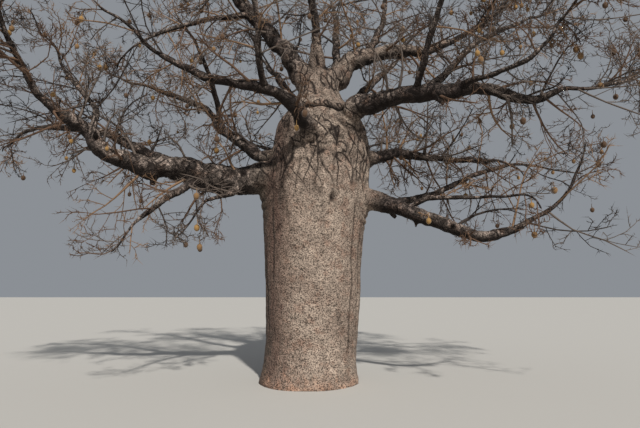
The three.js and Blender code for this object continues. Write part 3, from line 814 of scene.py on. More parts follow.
def grow_shoots(name, index):
    """Every side shoot along one bough, with its own twigs."""
    twigs = []
    points, radii = lines[name]
    length = steps_of(points).sum()
    first = SHOOT_FIRST
    if LIMBS[name][0] == "trunk":
        first = (trunk_station(LIMBS[name][1])[0] + SHOOT_CLEAR_OF_TRUNK) / length
    count = round(length * (1 - first) / SHOOT_SPACING * FULLNESS.get(name, USUAL)[1])
    random = random_from(SHOOT_SEED + index * SHOOT_SEED_STEP)
    for k in range(count):
        share = first + (1 - first) * ((k + next(random)) / count)
        place, along, thick = along_line(points, radii, share)
        tilt = SHOOT_TILT + spread(random, TILT_SPREAD)
        turn = k * GOLDEN_TURN + spread(random, TURN_SPREAD)
        heading = unit(leaning(along, tilt, turn) * [1, SHOOT_DEPTH_SHARE, 1])
        long = SHOOT_LENGTH * (1 + spread(random, SHOOT_LENGTH_SPREAD))
        thin = float(np.clip(thick * SHOOT_RADIUS_SHARE, *SHOOT_RADII))
        seed = ((SHOOT_SEED + index * SHOOT_SEED_STEP + k) * CHILD_SEED_FACTOR) & SEED_MASK
        start = place + sideways(along, turn) * thick * SHOOT_START
        grow_twig(start, heading, Shoot(name, place), 1, long, thin, seed, False, k, twigs)
    return twigs


# Meshes, in metres

def tubes(centres, radii, sides, pointed):
    """Many tubes with the same number of rings, as places and triangles.

    centres is tubes by rings by 3, and radii is tubes by rings.
    """
    count, rings = radii.shape
    along = np.empty_like(centres)
    along[:, 1:-1] = centres[:, 2:] - centres[:, :-2]
    along[:, 0] = centres[:, 1] - centres[:, 0]
    along[:, -1] = centres[:, -1] - centres[:, -2]
    along /= np.linalg.norm(along, axis=2, keepdims=True)
    helper = np.where(np.abs(along[:, :1, 2:]) > NEARLY_UPRIGHT, [[[1.0, 0, 0]]], [[[0, 0, 1.0]]])[:, 0]
    side = np.cross(helper, along[:, 0])
    angles = np.arange(sides) * 2 * math.pi / sides
    places = np.empty((count, rings, sides, 3))
    for ring in range(rings):
        forward = along[:, ring]
        side = side - forward * (side * forward).sum(axis=1, keepdims=True)
        side /= np.linalg.norm(side, axis=1, keepdims=True)
        across = np.cross(forward, side)
        out = side[:, None] * np.cos(angles)[:, None] + across[:, None] * np.sin(angles)[:, None]
        places[:, ring] = centres[:, ring, None] + out * radii[:, ring, None, None]
    number = np.arange(count * rings * sides).reshape(count, rings, sides)
    a, b = number[:, :-1], np.roll(number[:, :-1], -1, axis=2)
    c, d = np.roll(number[:, 1:], -1, axis=2), number[:, 1:]
    first = np.stack([a, b, c], axis=-1)
    second = np.stack([a, c, d], axis=-1)
    if pointed:
        places[:, -1] = centres[:, -1, None]
        second = second[:, :-1]
    faces = np.concatenate([first.reshape(-1, 3), second.reshape(-1, 3)])
    return places.reshape(-1, 3), faces


def one_tube(centres, radii, sides, pointed):
    """One tube in metres, from centres and radii in millimetres."""
    return tubes(centres[None] * MM, radii[None] * MM, sides, pointed)


def joined(shapes):
    """The places and triangles of many shapes, as those of one mesh."""
    starts = np.cumsum([0] + [len(places) for places, _ in shapes])
    faces = [more + start for (_, more), start in zip(shapes, starts)]
    return np.concatenate([places for places, _ in shapes]), np.concatenate(faces)


def rounded(lines_of_points):
    """Twice the rings along many lines, curved through the same places."""
    before = np.concatenate([lines_of_points[:, :1], lines_of_points[:, :-2]], axis=1)
    after = np.concatenate([lines_of_points[:, 2:], lines_of_points[:, -1:]], axis=1)
    count, rings, columns = lines_of_points.shape
    made = np.empty((count, 2 * rings - 1, columns))
    made[:, ::2] = lines_of_points
    made[:, 1::2] = (9 * (lines_of_points[:, :-1] + lines_of_points[:, 1:]) - before - after) / 16
    return made


def spurs(centres, count, random):
    """Short pointed ends that stand off many twigs, as places, triangles and each triangle's twig."""
    owner = np.repeat(np.arange(len(centres)), count)
    ring = random.integers(0, centres.shape[1] - 1, len(owner))
    step = centres[owner, ring + 1] - centres[owner, ring]
    start = centres[owner, ring] + step * random.random((len(owner), 1))
    heading = random.normal(size=start.shape)
    heading /= np.linalg.norm(heading, axis=1, keepdims=True)
    heading += SPUR_FORWARD * step / np.linalg.norm(step, axis=1, keepdims=True)
    end = start + heading * random.uniform(*SPUR_LENGTHS, (len(owner), 1))
    kept = ((end > BOX_LOW * MM) & (end < BOX_HIGH * MM)).all(axis=1)
    radii = np.broadcast_to([SPUR_RADIUS, 0.0], (kept.sum(), 2))
    places, faces = tubes(np.stack([start[kept], end[kept]], axis=1), radii, SPUR_SIDES, True)
    return places, faces, owner[kept][faces[:, 0] // (2 * SPUR_SIDES)]


def linked(name, data):
    """A new object of the scene."""
    made = bpy.data.objects.new(name, data)
    bpy.context.scene.collection.objects.link(made)
    return made


def piece(name, places, faces, materials, face_materials=None, normals=None, values=()):
    """A smooth mesh object from places in metres and faces of equal corners, with the bark's values."""
    mesh = bpy.data.meshes.new(name)
    mesh.vertices.add(len(places))
    mesh.vertices.foreach_set("co", np.ascontiguousarray(places, np.float32).ravel())
    mesh.loops.add(faces.size)
    mesh.loops.foreach_set("vertex_index", np.ascontiguousarray(faces, np.int32).ravel())
    mesh.polygons.add(len(faces))
    mesh.polygons.foreach_set("loop_start", np.arange(0, faces.size, faces.shape[1], dtype=np.int32))
    mesh.polygons.foreach_set("use_smooth", np.ones(len(faces), bool))
    for material in materials:
        mesh.materials.append(material)
    if face_materials is not None:
        mesh.polygons.foreach_set("material_index", np.ascontiguousarray(face_materials, np.int32))
    mesh.update(calc_edges=True)
    for value, numbers in zip(BARK_VALUES, values):
        mesh.attributes.new(value, "FLOAT", "POINT").data.foreach_set("value", numbers)
    if normals is not None:
        mesh.normals_split_custom_set_from_vertices(normals)
    return linked(name, mesh)


def places_of(mesh):
    places = np.empty(len(mesh.vertices) * 3, np.float32)
    mesh.vertices.foreach_get("co", places)
    return places.reshape(-1, 3).astype(float)


class Noise:
    """Smooth seeded noise through space, about -1 to 1, with one feature a unit."""

    CELLS = 32

    def __init__(self, seed):
        slopes = np.random.default_rng(seed).normal(size=(self.CELLS,) * 3 + (3,))
        self.slopes = slopes / np.linalg.norm(slopes, axis=3, keepdims=True)

    def at(self, places, size, depth=1):
        """The noise, of some depth, where one feature measures size metres along X, Y and Z."""
        scaled = places / np.asarray(size)
        cell = np.floor(scaled).astype(int)
        part = scaled - cell
        ease = part ** 3 * (part * (part * 6 - 15) + 10)
        total = np.zeros(len(places))
        for corner in np.ndindex(2, 2, 2):
            slope = self.slopes[tuple(((cell + corner) % self.CELLS).T)]
            weight = np.where(corner, ease, 1 - ease).prod(axis=1)
            total += weight * ((part - corner) * slope).sum(axis=1)
        return total * NOISE_RANGE * depth


LUMPS, DENTS, GRAIN, FOLDS, CREASES, WRINKLES = (Noise(RELIEF_SEED + i) for i in range(6))


def bell(distance, width):
    return np.exp(-(distance / width) ** 2)


def share_of(value, low, high):
    return np.clip((value - low) / (high - low), 0, 1)


def oval_radius(turn, half_width, half_depth):
    return 1 / np.hypot(np.cos(turn) / half_width, np.sin(turn) / half_depth)


def creases_at(noise, places, size, width):
    """Winding creases of one width, where the noise passes through nothing."""
    level = noise.at(places, size)
    slopes = [noise.at(places + step, size) - level for step in np.eye(3) * CREASE_STEP]
    return bell(level / (np.linalg.norm(slopes, axis=0) / CREASE_STEP + FLATTEST), width)


# Trunk and thick boughs: one skin over all of them, smooth at the forks

def trunk_rows():
    """Heights with their smoothed stations, in millimetres."""
    top = TRUNK_STATIONS[-1][0]
    heights = np.arange(0, top + 1, TRUNK_RING)
    fine = np.arange(-STATION_EASE, top + STATION_EASE + 1, STATION_STEP)
    reach = STATION_EASE // STATION_STEP
    weights = np.hanning(2 * reach + 3)[1:-1]
    weights /= weights.sum()
    rows = [heights]
    for i in range(1, 5):
        values = np.interp(fine, [row[0] for row in TRUNK_STATIONS], [row[i] for row in TRUNK_STATIONS])
        eased = np.convolve(np.pad(values, reach, mode="edge"), weights, "valid")
        rows.append(np.interp(heights, fine, eased))
    return np.array(rows)


def collars():
    """Where the boughs on the trunk come through its bark: turn, height and size."""
    found = []
    for carrier, at, (root, _), legs, _, _ in LIMBS.values():
        if carrier == "trunk" and at < SHOULDER_TOP:
            heading, rise, _ = legs[0]
            climb = math.tan(math.radians(min(rise, STEEPEST_COLLAR)))
            found.append((math.radians(heading), at + trunk_station(at)[0] * climb, root))
    return found


def turn_between(turn, other):
    return np.arctan2(np.sin(turn - other), np.cos(turn - other))


def trunk_radius(height, half_width, half_depth, turn):
    """How far the trunk's side stands from its axis, with ribs and swellings."""
    base = oval_radius(turn, half_width, half_depth)
    ribs = sum(depth * np.cos(count * turn + shift) for count, depth, shift in TRUNK_RIBS)
    swelling = 0
    for collar_turn, collar_height, size in collars():
        away = turn_between(turn, collar_turn) * base
        wide = COLLAR_SPREAD * size
        near = np.exp(-(away ** 2 + (height - collar_height) ** 2) / wide ** 2)
        swelling = swelling + COLLAR_HEIGHT * size * near
    return base * (1 + ribs) + swelling


def trunk_tube():
    """The trunk as a closed shape in metres."""
    heights, half_width, half_depth, across, back = trunk_rows()
    turn = np.arange(TRUNK_SIDES) * 2 * math.pi / TRUNK_SIDES
    radius = trunk_radius(heights[:, None], half_width[:, None], half_depth[:, None], turn[None, :])
    places = np.stack([across[:, None] + radius * np.cos(turn), back[:, None] + radius * np.sin(turn),
                       np.broadcast_to(heights[:, None], radius.shape)], axis=-1).reshape(-1, 3)
    rings = len(heights)
    number = np.arange(rings * TRUNK_SIDES).reshape(rings, TRUNK_SIDES)
    low, high = number[:-1], number[1:]
    faces = [tuple(face) for face in np.stack(
        [low, np.roll(low, -1, axis=1), np.roll(high, -1, axis=1), high], axis=-1).reshape(-1, 4)]
    faces.append(tuple(number[0][::-1]))
    faces.append(tuple(number[-1]))
    return places * MM, faces


def fine_line(points, radii, spacing):
    """A bough's line curved smoothly through the solids' rings, with its run in millimetres."""
    run = np.concatenate([[0], np.cumsum(steps_of(points))])
    slopes = np.gradient(points, run, axis=0)
    at = np.linspace(0, run[-1], max(math.ceil(run[-1] / spacing), 2) + 1)
    i = np.clip(np.searchsorted(run, at, side="right") - 1, 0, len(run) - 2)
    gap = (run[i + 1] - run[i])[:, None]
    t = (at - run[i])[:, None] / gap
    smooth = ((2 * t ** 3 - 3 * t ** 2 + 1) * points[i] + (t ** 3 - 2 * t ** 2 + t) * gap * slopes[i]
              + (3 * t ** 2 - 2 * t ** 3) * points[i + 1] + (t ** 3 - t ** 2) * gap * slopes[i + 1])
    return smooth, np.interp(at, run, radii), at


def closed_tube(centres, radii, sides):
    """One closed tube in metres, as places and faces."""
    places, faces = one_tube(centres, radii, sides, False)
    faces = [tuple(face) for face in faces]
    last = len(places) - sides
    faces.append(tuple(range(sides - 1, -1, -1)))
    faces.append(tuple(range(last, last + sides)))
    return places, faces


def crooked(centres, radii, run, seed):
    """The line of a bough with small crooks between the solids' rings, none at its two ends."""
    shares = np.minimum(run, run[-1] - run) / CROOK_EASE
    size = np.clip(shares, 0, 1) * radii * FINE_CROOK
    along = np.stack([run, np.full_like(run, seed), np.zeros_like(run)], axis=1) * MM
    moves = np.stack([noise.at(along, CROOK_SIZE) for noise in (LUMPS, DENTS, GRAIN)], axis=1)
    return centres + moves * size[:, None]


def painted_under_shade(normals):
    """Painted shade under a bough: how dark its bark is made, by its normals."""
    return np.clip(-UNDER_SHADE * normals[:, 2], 0, MOST_UNDER_SHADE)


def broken_stubs(centres, radii, length, index):
    """The blunt stubs of lost boughs along one thick bough, each a closed tube."""
    random = random_from(STUB_SEED + index)
    count = round(length * (1 - STUB_FIRST) / STUB_SPACING)
    made = []
    for k in range(count):
        share = STUB_FIRST + (1 - STUB_FIRST) * (k + next(random)) / count
        place, along, thick = along_line(centres, radii, share)
        tilt = STUB_TILT + spread(random, TILT_SPREAD)
        heading = leaning(along, tilt, next(random) * 2 * math.pi)
        reach = thick + np.interp(next(random), (0, 1), STUB_LENGTHS)
        radius = max(thick * STUB_RADIUS_SHARE, STUB_RADIUS_LEAST)
        steps = place + heading * np.linspace(0, reach, len(STUB_TAPER))[:, None]
        if thick >= THINNEST_SKIN and within_box(steps[-1], radius):
            made.append(closed_tube(steps, radius * np.array(STUB_TAPER), STUB_SIDES))
    return made


def fork_shapes():
    """Closed tubes from the middle of the trunk's top to some way up the limbs of its fork."""
    across, back = trunk_station(FORK_HEIGHT)[2:]
    middle = np.array([across, back, FORK_HEIGHT], float)
    made = []
    for name, share in FORK_LIMBS.items():
        end, _, thick = along_line(*lines[name], share)
        part = np.linspace(0, 1, FORK_STEPS)
        radii = FORK_RADIUS + (thick * SWEEP_TUCK - FORK_RADIUS) * part ** FORK_EASE
        made.append(closed_tube(middle + (end - middle) * part[:, None], radii, THICK_SIDES))
    return made


def skin_base():
    """The trunk and the thick boughs as closed shapes that overlap, in one mesh."""
    shapes = [trunk_tube(), *fork_shapes()]
    for index, name in enumerate(THICK_LIMBS):
        centres, radii, run = fine_line(*lines[name], THICK_RING)
        centres = crooked(centres, radii, run, index)
        kept = radii >= THINNEST_SKIN
        kept[:SWEEP_OVERLAP] = True
        last = len(radii) if kept.all() else min(np.argmin(kept) + SWEEP_OVERLAP, len(radii))
        radii = radii.copy()
        if last < len(radii):
            radii[last - SWEEP_OVERLAP:last] *= np.linspace(1, SWEEP_TUCK, SWEEP_OVERLAP)
        shapes += broken_stubs(centres, radii, run[-1], index)
        shapes.append(closed_tube(centres[:last], radii[:last], THICK_SIDES))
    faces = []
    count = 0
    for places, more in shapes:
        faces.extend(tuple(number + count for number in face) for face in more)
        count += len(places)
    return np.concatenate([places for places, _ in shapes]), faces


def remeshed(places, faces):
    """One even skin of four-cornered faces over closed shapes that overlap."""
    mesh = bpy.data.meshes.new("skin")
    mesh.from_pydata(places.tolist(), [], faces)
    made = linked("skin", mesh)
    remesh = made.modifiers.new("one skin", "REMESH")
    remesh.mode = "VOXEL"
    remesh.voxel_size = SKIN_VOXEL
    smooth = made.modifiers.new("soft forks", "SMOOTH")
    smooth.factor = SKIN_SMOOTH
    smooth.iterations = SKIN_SMOOTH_TIMES
    graph = bpy.context.evaluated_depsgraph_get()
    shown = made.evaluated_get(graph).to_mesh()
    skin = places_of(shown)
    corners = np.empty(len(shown.loops), np.int32)
    shown.loops.foreach_get("vertex_index", corners)
    made.evaluated_get(graph).to_mesh_clear()
    bpy.data.objects.remove(made)
    return skin, corners.reshape(-1, 4)


def skin_normals(places, faces):
    """Normals at the places of a mesh of four-cornered faces."""
    across = places[faces[:, 2]] - places[faces[:, 0]]
    along = places[faces[:, 3]] - places[faces[:, 1]]
    normal = np.cross(across, along)
    total = np.zeros_like(places)
    for corner in range(faces.shape[1]):
        for axis in range(3):
            total[:, axis] += np.bincount(faces[:, corner], normal[:, axis], len(places))
    return total / np.maximum(np.linalg.norm(total, axis=1, keepdims=True), NEARLY_NOTHING)


def nearest_limb(places):
    """For each place, the thick bough it lies on, how far along it is and how far outside the trunk."""
    heights, half_width, half_depth, across, back = trunk_rows() * MM
    row = [np.interp(places[:, 2], heights, values) for values in (half_width, half_depth, across, back)]
    turn = np.arctan2(places[:, 1] - row[3], places[:, 0] - row[2])
    outside = np.hypot(places[:, 0] - row[2], places[:, 1] - row[3]) - oval_radius(turn, row[0], row[1])
    outside += np.maximum(places[:, 2] - heights[-1], 0)
    best = outside.copy()
    owner = np.full(len(places), -1)
    runs = np.zeros(len(places))
    girths = np.ones(len(places))
    for index, name in enumerate(THICK_LIMBS):
        centres, radii, run = fine_line(*lines[name], THICK_RING)
        centres, radii, run = centres * MM, radii * MM, run * MM
        low, high = centres.min(axis=0) - radii.max(), centres.max(axis=0) + radii.max()
        near = np.flatnonzero(((places > low) & (places < high)).all(axis=1))
        for i in range(len(centres) - 1):
            step = centres[i + 1] - centres[i]
            away = places[near] - centres[i]
            t = np.clip(away @ step / (step @ step), 0, 1)
            gap = np.linalg.norm(away - t[:, None] * step, axis=1) - radii[i]
            better = gap < best[near]
            chosen = near[better]
            best[chosen] = gap[better]
            owner[chosen] = index
            runs[chosen] = run[i] + t[better] * (run[i + 1] - run[i])
            girths[chosen] = radii[i]
    return owner, runs, girths, outside, turn


def slanted(places):
    """Places moved about, so that creases laid on them wander and lean."""
    moved = places + np.stack([noise.at(places, *CREASE_WARP) for noise in (LUMPS, DENTS, FOLDS)], axis=1)
    moved[:, 0] += CREASE_SLANT * moved[:, 2]
    return moved


def skin_relief(places):
    """How far the bark stands out, how much painted shade lies in its creases and marks, and where and how
    much the skin is a bough's.

    The last value is how much of the boughs' darker bark that bough takes.
    """
    owner, runs, girths, outside, turn = nearest_limb(places)
    on_limb = owner >= 0
    ease = share_of(outside, *LIMB_EASE) * on_limb
    size = np.where(on_limb, np.clip(girths / GIRTH_FULL, GIRTH_LEAST, 1), 1)
    height = places[:, 2]
    shoulder = share_of(height, *SHOULDER_RANGE)
    relief = LUMPS.at(places, *LUMP) + DENTS.at(places, *DENT) + GRAIN.at(places, *ROUGHNESS)
    relief *= size
    long_creases = creases_at(CREASES, places, CREASE_SIZE, CREASE_WIDTH)
    close_creases = creases_at(WRINKLES, slanted(places), SHOULDER_CREASE_SIZE, SHOULDER_CREASE_WIDTH)
    hanging_creases = creases_at(GRAIN, places, HANGING_CREASE_SIZE, SHOULDER_CREASE_WIDTH)
    close_creases = np.maximum(close_creases, hanging_creases) * shoulder
    marks, mark_shade = trunk_marks(places, turn, height, outside)
    upright = FOLDS.at(places, *FOLD) + WRINKLES.at(places, *WRINKLE)
    upright += SHOULDER_LUMP * shoulder * FOLDS.at(places, SHOULDER_LUMP_SIZE)
    upright += marks - CREASE_DEPTH * long_creases - SHOULDER_CREASE * close_creases
    relief += upright * (1 - ease)
    rings = np.sin((runs + CREASES.at(places, *RING_WARP)) * 2 * math.pi / RING_LENGTH)
    knobs = LUMPS.at(places, *LIMB_LUMP) + DENTS.at(places, *LIMB_DENT)
    relief += ease * (size * (RING_DEPTH * rings - LIMB_CREASE * long_creases) + girths * knobs)
    # Painted shade in the creases and the trunk's marks
    dark = (LONG_DARK * long_creases + CLOSE_DARK * close_creases + mark_shade) * (1 - ease)
    dark += LIMB_DARK * ease * long_creases
    shares = np.array([PALE_LIMBS.get(name, 1) for name in THICK_LIMBS])
    relief *= np.clip(height / FOOT_EASE, 0, 1)
    return relief, dark, on_limb, ease, shares[owner]


def trunk_marks(places, turn, height, outside):
    """Folds under the boughs and round the neck, flutes and knots: how far out, and how much painted shade
    lies in their hollows.
    """
    heights, half_widths = trunk_rows()[:2] * MM
    radius = np.interp(height, heights, half_widths)
    marks = np.zeros(len(places))
    dark = np.zeros(len(places))
    for collar_turn, collar_height, size in collars():
        across = turn_between(turn, collar_turn) * radius / (size * MM)
        up = (height - collar_height * MM) / (size * MM)
        reach = np.hypot(across * COLLAR_FOLD_NARROW, up)
        below = np.clip(COLLAR_FOLD_BELOW - up, 0, 1) * bell(reach - COLLAR_FOLD_MIDDLE, COLLAR_FOLD_RANGE)
        ripple = np.cos((reach - COLLAR_FOLD_START) * 2 * math.pi / COLLAR_FOLD_LENGTH
                        + LUMPS.at(places, *COLLAR_FOLD_WANDER))
        marks += COLLAR_FOLD_DEPTH * below * ripple
        # Painted shade in the folds' hollows
        dark += FOLD_DARK * below * np.clip(-ripple, 0, 1)
    neck = NECK_HEIGHT + NECK_TILT * np.cos(turn) + LUMPS.at(places, *NECK_WAVE)
    deep = np.clip(NECK_EVEN + DENTS.at(places, *NECK_UNEVEN), NECK_LEAST, 1)
    slit = bell(height - neck, NECK_WIDTH) * deep
    marks += NECK_ROLL * bell(height - neck - NECK_ROLL_RISE, NECK_ROLL_RISE) - NECK_DEPTH * slit
    # Painted shadow in the neck's slit, under its roll
    dark += NECK_DARK * slit
    for flute, width, depth, low, high in FLUTES:
        wander = math.radians(flute) + DENTS.at(places, *FLUTE_WANDER)
        ends = np.clip((height - low) / FLUTE_EASE, 0, 1) * np.clip((high - height) / FLUTE_EASE, 0, 1)
        groove = ends * bell(turn_between(turn, wander), math.radians(width))
        marks -= depth * groove
        # Painted shade in the flute
        dark += FLUTE_DARK * groove
    for knot, knot_height, half_width, half_height, depth in KNOTS:
        away = np.hypot(turn_between(turn, math.radians(knot)) * radius / half_width,
                        (height - knot_height) / half_height)
        marks -= depth * bell(away, KNOT_HOLLOW)
        marks += KNOT_RIM * depth * bell(away - KNOT_RIM_AT, KNOT_RIM_WIDTH)
        # Painted shade in the knot's hollow
        dark += min(depth / KNOT_DARK_DEPTH, 1) * bell(away, KNOT_HOLLOW)
    near = outside < MARKS_OUTSIDE
    return marks * near, dark * near


def part_of(faces, chosen, *values):
    """The chosen faces of a mesh, with the values of only the places that they use."""
    faces = faces[chosen]
    used = np.unique(faces)
    renumber = np.zeros(used[-1] + 1, np.int64)
    renumber[used] = np.arange(len(used))
    return renumber[faces], *(value[used] for value in values)


def bark_sweep(points, radii, spacing, seed, tuck):
    """One bough or stem with its bark's relief: places and triangles in metres, and the painted shade under
    it.
    """
    centres, radii, run = fine_line(points, radii, spacing)
    centres = crooked(centres, radii, run, seed)
    if tuck:
        first = min(np.argmax(radii < THINNEST_SKIN), len(radii) - FEWEST_RINGS)
        centres, radii, run = centres[first:], radii[first:], run[first:]
        radii = radii * (1 - (1 - SWEEP_TUCK) * np.clip(1 - np.arange(len(radii)) / SWEEP_OVERLAP, 0, 1))
    sides = int(np.clip(round(radii.max() / SWEEP_SIDE), *SWEEP_SIDES))
    places, faces = one_tube(centres, radii, sides, True)
    middle = np.repeat(centres * MM, sides, axis=0)
    girth = np.repeat(radii * MM, sides)
    out = places - middle
    length = np.linalg.norm(out, axis=1)
    out /= np.maximum(length, NEARLY_NOTHING)[:, None]
    relief = LUMPS.at(places, *SWEEP_LUMP) + DENTS.at(places, *SWEEP_DENT)
    warped = np.repeat(run * MM, sides) + CREASES.at(places, *RING_WARP)
    relief += SWEEP_RING * np.sin(warped * 2 * math.pi / SWEEP_RING_LENGTH)
    places = places + out * (relief * girth * (length > NEARLY_NOTHING))[:, None]
    # The last value is painted shade under the bough
    return places, faces, painted_under_shade(out)


lines = limb_lines()
masses = [Mass(name, index, lines[name]) for index, name in enumerate(LIMBS)]
spaces = Spaces(masses)
obstacles = Obstacles(lines)


# Materials

class Finish:
    """One procedural material, built node by node in the object's own coordinates."""

    def __init__(self, name, roughness, specular):
        self.material = bpy.data.materials.new(name)
        self.material.use_nodes = True
        self.tree = self.material.node_tree
        self.shader = self.tree.nodes["Principled BSDF"]
        self.shader.inputs["Roughness"].default_value = roughness
        self.shader.inputs["Specular IOR Level"].default_value = specular
        self.place = self.add("ShaderNodeTexCoord").outputs["Object"]
        self.bumped = None

    def add(self, kind, inputs=None, **settings):
        node = self.tree.nodes.new(kind)
        for key, value in settings.items():
            setattr(node, key, value)
        for key, value in (inputs or {}).items():
            if isinstance(value, bpy.types.NodeSocket):
                self.tree.links.new(value, node.inputs[key])
            else:
                node.inputs[key].default_value = value
        return node

    def scaled(self, size):
        sizes = size if isinstance(size, tuple) else (size,) * 3
        scale = tuple(1 / value for value in sizes)
        return self.add("ShaderNodeMapping", {"Vector": self.place, "Scale": scale}).outputs["Vector"]

    def noise(self, size, detail, rough, warp=0.0):
        inputs = {"Vector": self.scaled(size), "Scale": 1.0, "Detail": detail, "Roughness": rough,
                  "Distortion": warp}
        return self.add("ShaderNodeTexNoise", inputs).outputs["Fac"]

    def pits(self):
        inputs = {"Vector": self.scaled(PIT_SIZE), "Scale": 1.0, "Smoothness": PIT_SOFTNESS}
        return self.add("ShaderNodeTexVoronoi", inputs, feature="SMOOTH_F1").outputs["Distance"]

    def value(self, name):
        """A value that the mesh carries."""
        return self.add("ShaderNodeAttribute", attribute_name=name).outputs["Fac"]

    def warped(self, size, amount, lean, wander):
        """The place, moved about by noise, in cells of a size that lean to one side."""
        inputs = {"Vector": self.scaled(wander), "Scale": 1.0, "Detail": 0.0}
        moves = self.add("ShaderNodeTexNoise", inputs).outputs["Color"]
        moved = self.add("ShaderNodeVectorMath", {0: moves, 1: (amount,) * 3, 2: self.place},
                         operation="MULTIPLY_ADD").outputs["Vector"]
        return self.add("ShaderNodeMapping", {"Vector": moved, "Rotation": (0.0, lean, 0.0), "Scale": size},
                        vector_type="TEXTURE").outputs["Vector"]

    def cracks(self, place, width):
        """Thin lines between warped cells."""
        inputs = {"Vector": place, "Scale": 1.0}
        edge = self.add("ShaderNodeTexVoronoi", inputs, feature="DISTANCE_TO_EDGE").outputs["Distance"]
        return self.ramp(edge, 0.0, width, 1.0, 0.0)

    def ramp(self, value, low, high, bottom=0.0, top=1.0):
        inputs = {"Value": value, "From Min": low, "From Max": high, "To Min": bottom, "To Max": top}
        return self.add("ShaderNodeMapRange", inputs, interpolation_type="SMOOTHSTEP").outputs["Result"]

    def maths(self, kind, *parts):
        """One operation over all the parts, in their order."""
        total = parts[0]
        for part in parts[1:]:
            total = self.add("ShaderNodeMath", {0: total, 1: part}, operation=kind).outputs["Value"]
        return total

    def axis(self, name):
        return self.add("ShaderNodeSeparateXYZ", {"Vector": self.place}).outputs[name]

    def stain(self, patches, axis, wander, *span):
        """How much a stain covers along an axis, with an edge that wanders by the patches."""
        moved = self.maths("MULTIPLY", self.maths("SUBTRACT", patches, 0.5), wander)
        return self.ramp(self.maths("ADD", self.axis(axis), moved), *span)

    def mix(self, factor, one, other, kind="MIX"):
        """Two colours mixed; a plain one is its red, green and blue."""
        ends = [opaque(end) if isinstance(end, tuple) else end for end in (one, other)]
        inputs = {0: factor, 6: ends[0], 7: ends[1]}
        return self.add("ShaderNodeMix", inputs, data_type="RGBA", blend_type=kind).outputs[2]

    def bump(self, height, depth, strength):
        inputs = {"Height": height, "Distance": depth, "Strength": strength}
        if self.bumped is not None:
            inputs["Normal"] = self.bumped
        self.bumped = self.add("ShaderNodeBump", inputs).outputs["Normal"]

    def done(self, colour=None, roughness=None):
        if colour is not None:
            self.tree.links.new(colour, self.shader.inputs["Base Color"])
        if roughness is not None:
            self.tree.links.new(roughness, self.shader.inputs["Roughness"])
        if self.bumped is not None:
            self.tree.links.new(self.bumped, self.shader.inputs["Normal"])
        return self.material


def opaque(colour):
    return (*colour, 1.0)


def bark_finish(name):
    """Pitted, speckled bark in patches of three tones, darker on the boughs (partly painted shade), with
    painted shade in cracks and creases.

    The trunk's is redder to one side, a stain deepened by painted shade, greyer at that side's edge as
    painted shade, and stained by the soil at its foot.
    """
    finish = Finish(name, *BARK_SURFACE)
    level = {kind: finish.noise(*settings) for kind, settings in BARK_NOISES.items()}
    level["pits"] = finish.pits()
    shown = {kind: finish.ramp(level[source], *span) for kind, (source, *span) in BARK_RAMPS.items()}
    trunk, bough = (finish.mix(shown["warm"], finish.mix(shown["pale"], main, pale), warm)
                    for main, pale, warm in (TRUNK_TONES, BOUGH_TONES))
    # The redder side, a stain deepened by painted shade, and the greyer far edge, painted shade
    side = finish.maths("MULTIPLY", finish.stain(level["patchy"], *RED_SHADED_SIDE), shown["streaky"])
    colour = finish.mix(side, trunk, RED_SHADED)
    colour = finish.mix(finish.stain(level["patchy"], *SHADED_EDGE), colour, EDGE_SHADE)
    colour = finish.mix(finish.stain(level["patchy"], *STAINED_FOOT), colour, SOIL_STAIN)
    # The boughs' darker bark, partly painted shade, by how much the bark is a bough's
    share = finish.value(BOUGH_NAME)
    colour = finish.mix(share, colour, bough)
    shade = finish.maths("MULTIPLY", *(finish.ramp(level[source], *span) for source, *span in BARK_SHADES))
    colour = finish.mix(1.0, colour, shade, "MULTIPLY")
    blocks = finish.warped(*BOUGH_BLOCKS)
    tint = finish.add("ShaderNodeTexVoronoi", {"Vector": blocks, "Scale": 1.0}).outputs["Color"]
    tint = finish.maths("MULTIPLY", finish.ramp(tint, *BLOCK_TINTS), shown["fine tint"])
    colour = finish.mix(share, colour, finish.mix(1.0, colour, tint, "MULTIPLY"))
    cracks = (finish.cracks(finish.warped(*cells), SHOULDER_CRACK_WIDTH) for cells in SHOULDER_CRACKS)
    high = finish.ramp(finish.axis("Z"), *SHOULDER_RANGE)
    cracks = finish.maths("MULTIPLY", finish.maths("MAXIMUM", *cracks), high, shown["broken"])
    splits = finish.maths("MULTIPLY", finish.cracks(blocks, BOUGH_SPLIT_WIDTH), shown["split"], share)
    cracks = finish.maths("MAXIMUM", cracks, splits)
    # Painted shade: near-black in the creases, marks and undersides that the mesh carries, and in the cracks
    colour = finish.mix(finish.maths("MAXIMUM", finish.value(PAINTED_SHADE_NAME), cracks), colour, PAINTED_SHADE_BARK)
    finish.bump(finish.maths("SUBTRACT", 1.0, cracks), CRACK_DEPTH, CRACK_STRENGTH)
    for kind, depth, strength in BARK_BUMPS:
        finish.bump(level[kind], depth, strength)
    return finish.done(colour, shown["rough"])


def plain_finish(name, colour, roughness, specular, bumps=(), sheen=0.0):
    """A material of one colour, with bumps from noises."""
    finish = Finish(name, roughness, specular)
    finish.shader.inputs["Base Color"].default_value = opaque(colour)
    finish.shader.inputs["Sheen Weight"].default_value = sheen
    for noise, depth, strength in bumps:
        finish.bump(finish.noise(*noise), depth, strength)
    return finish.done()


# Pieces

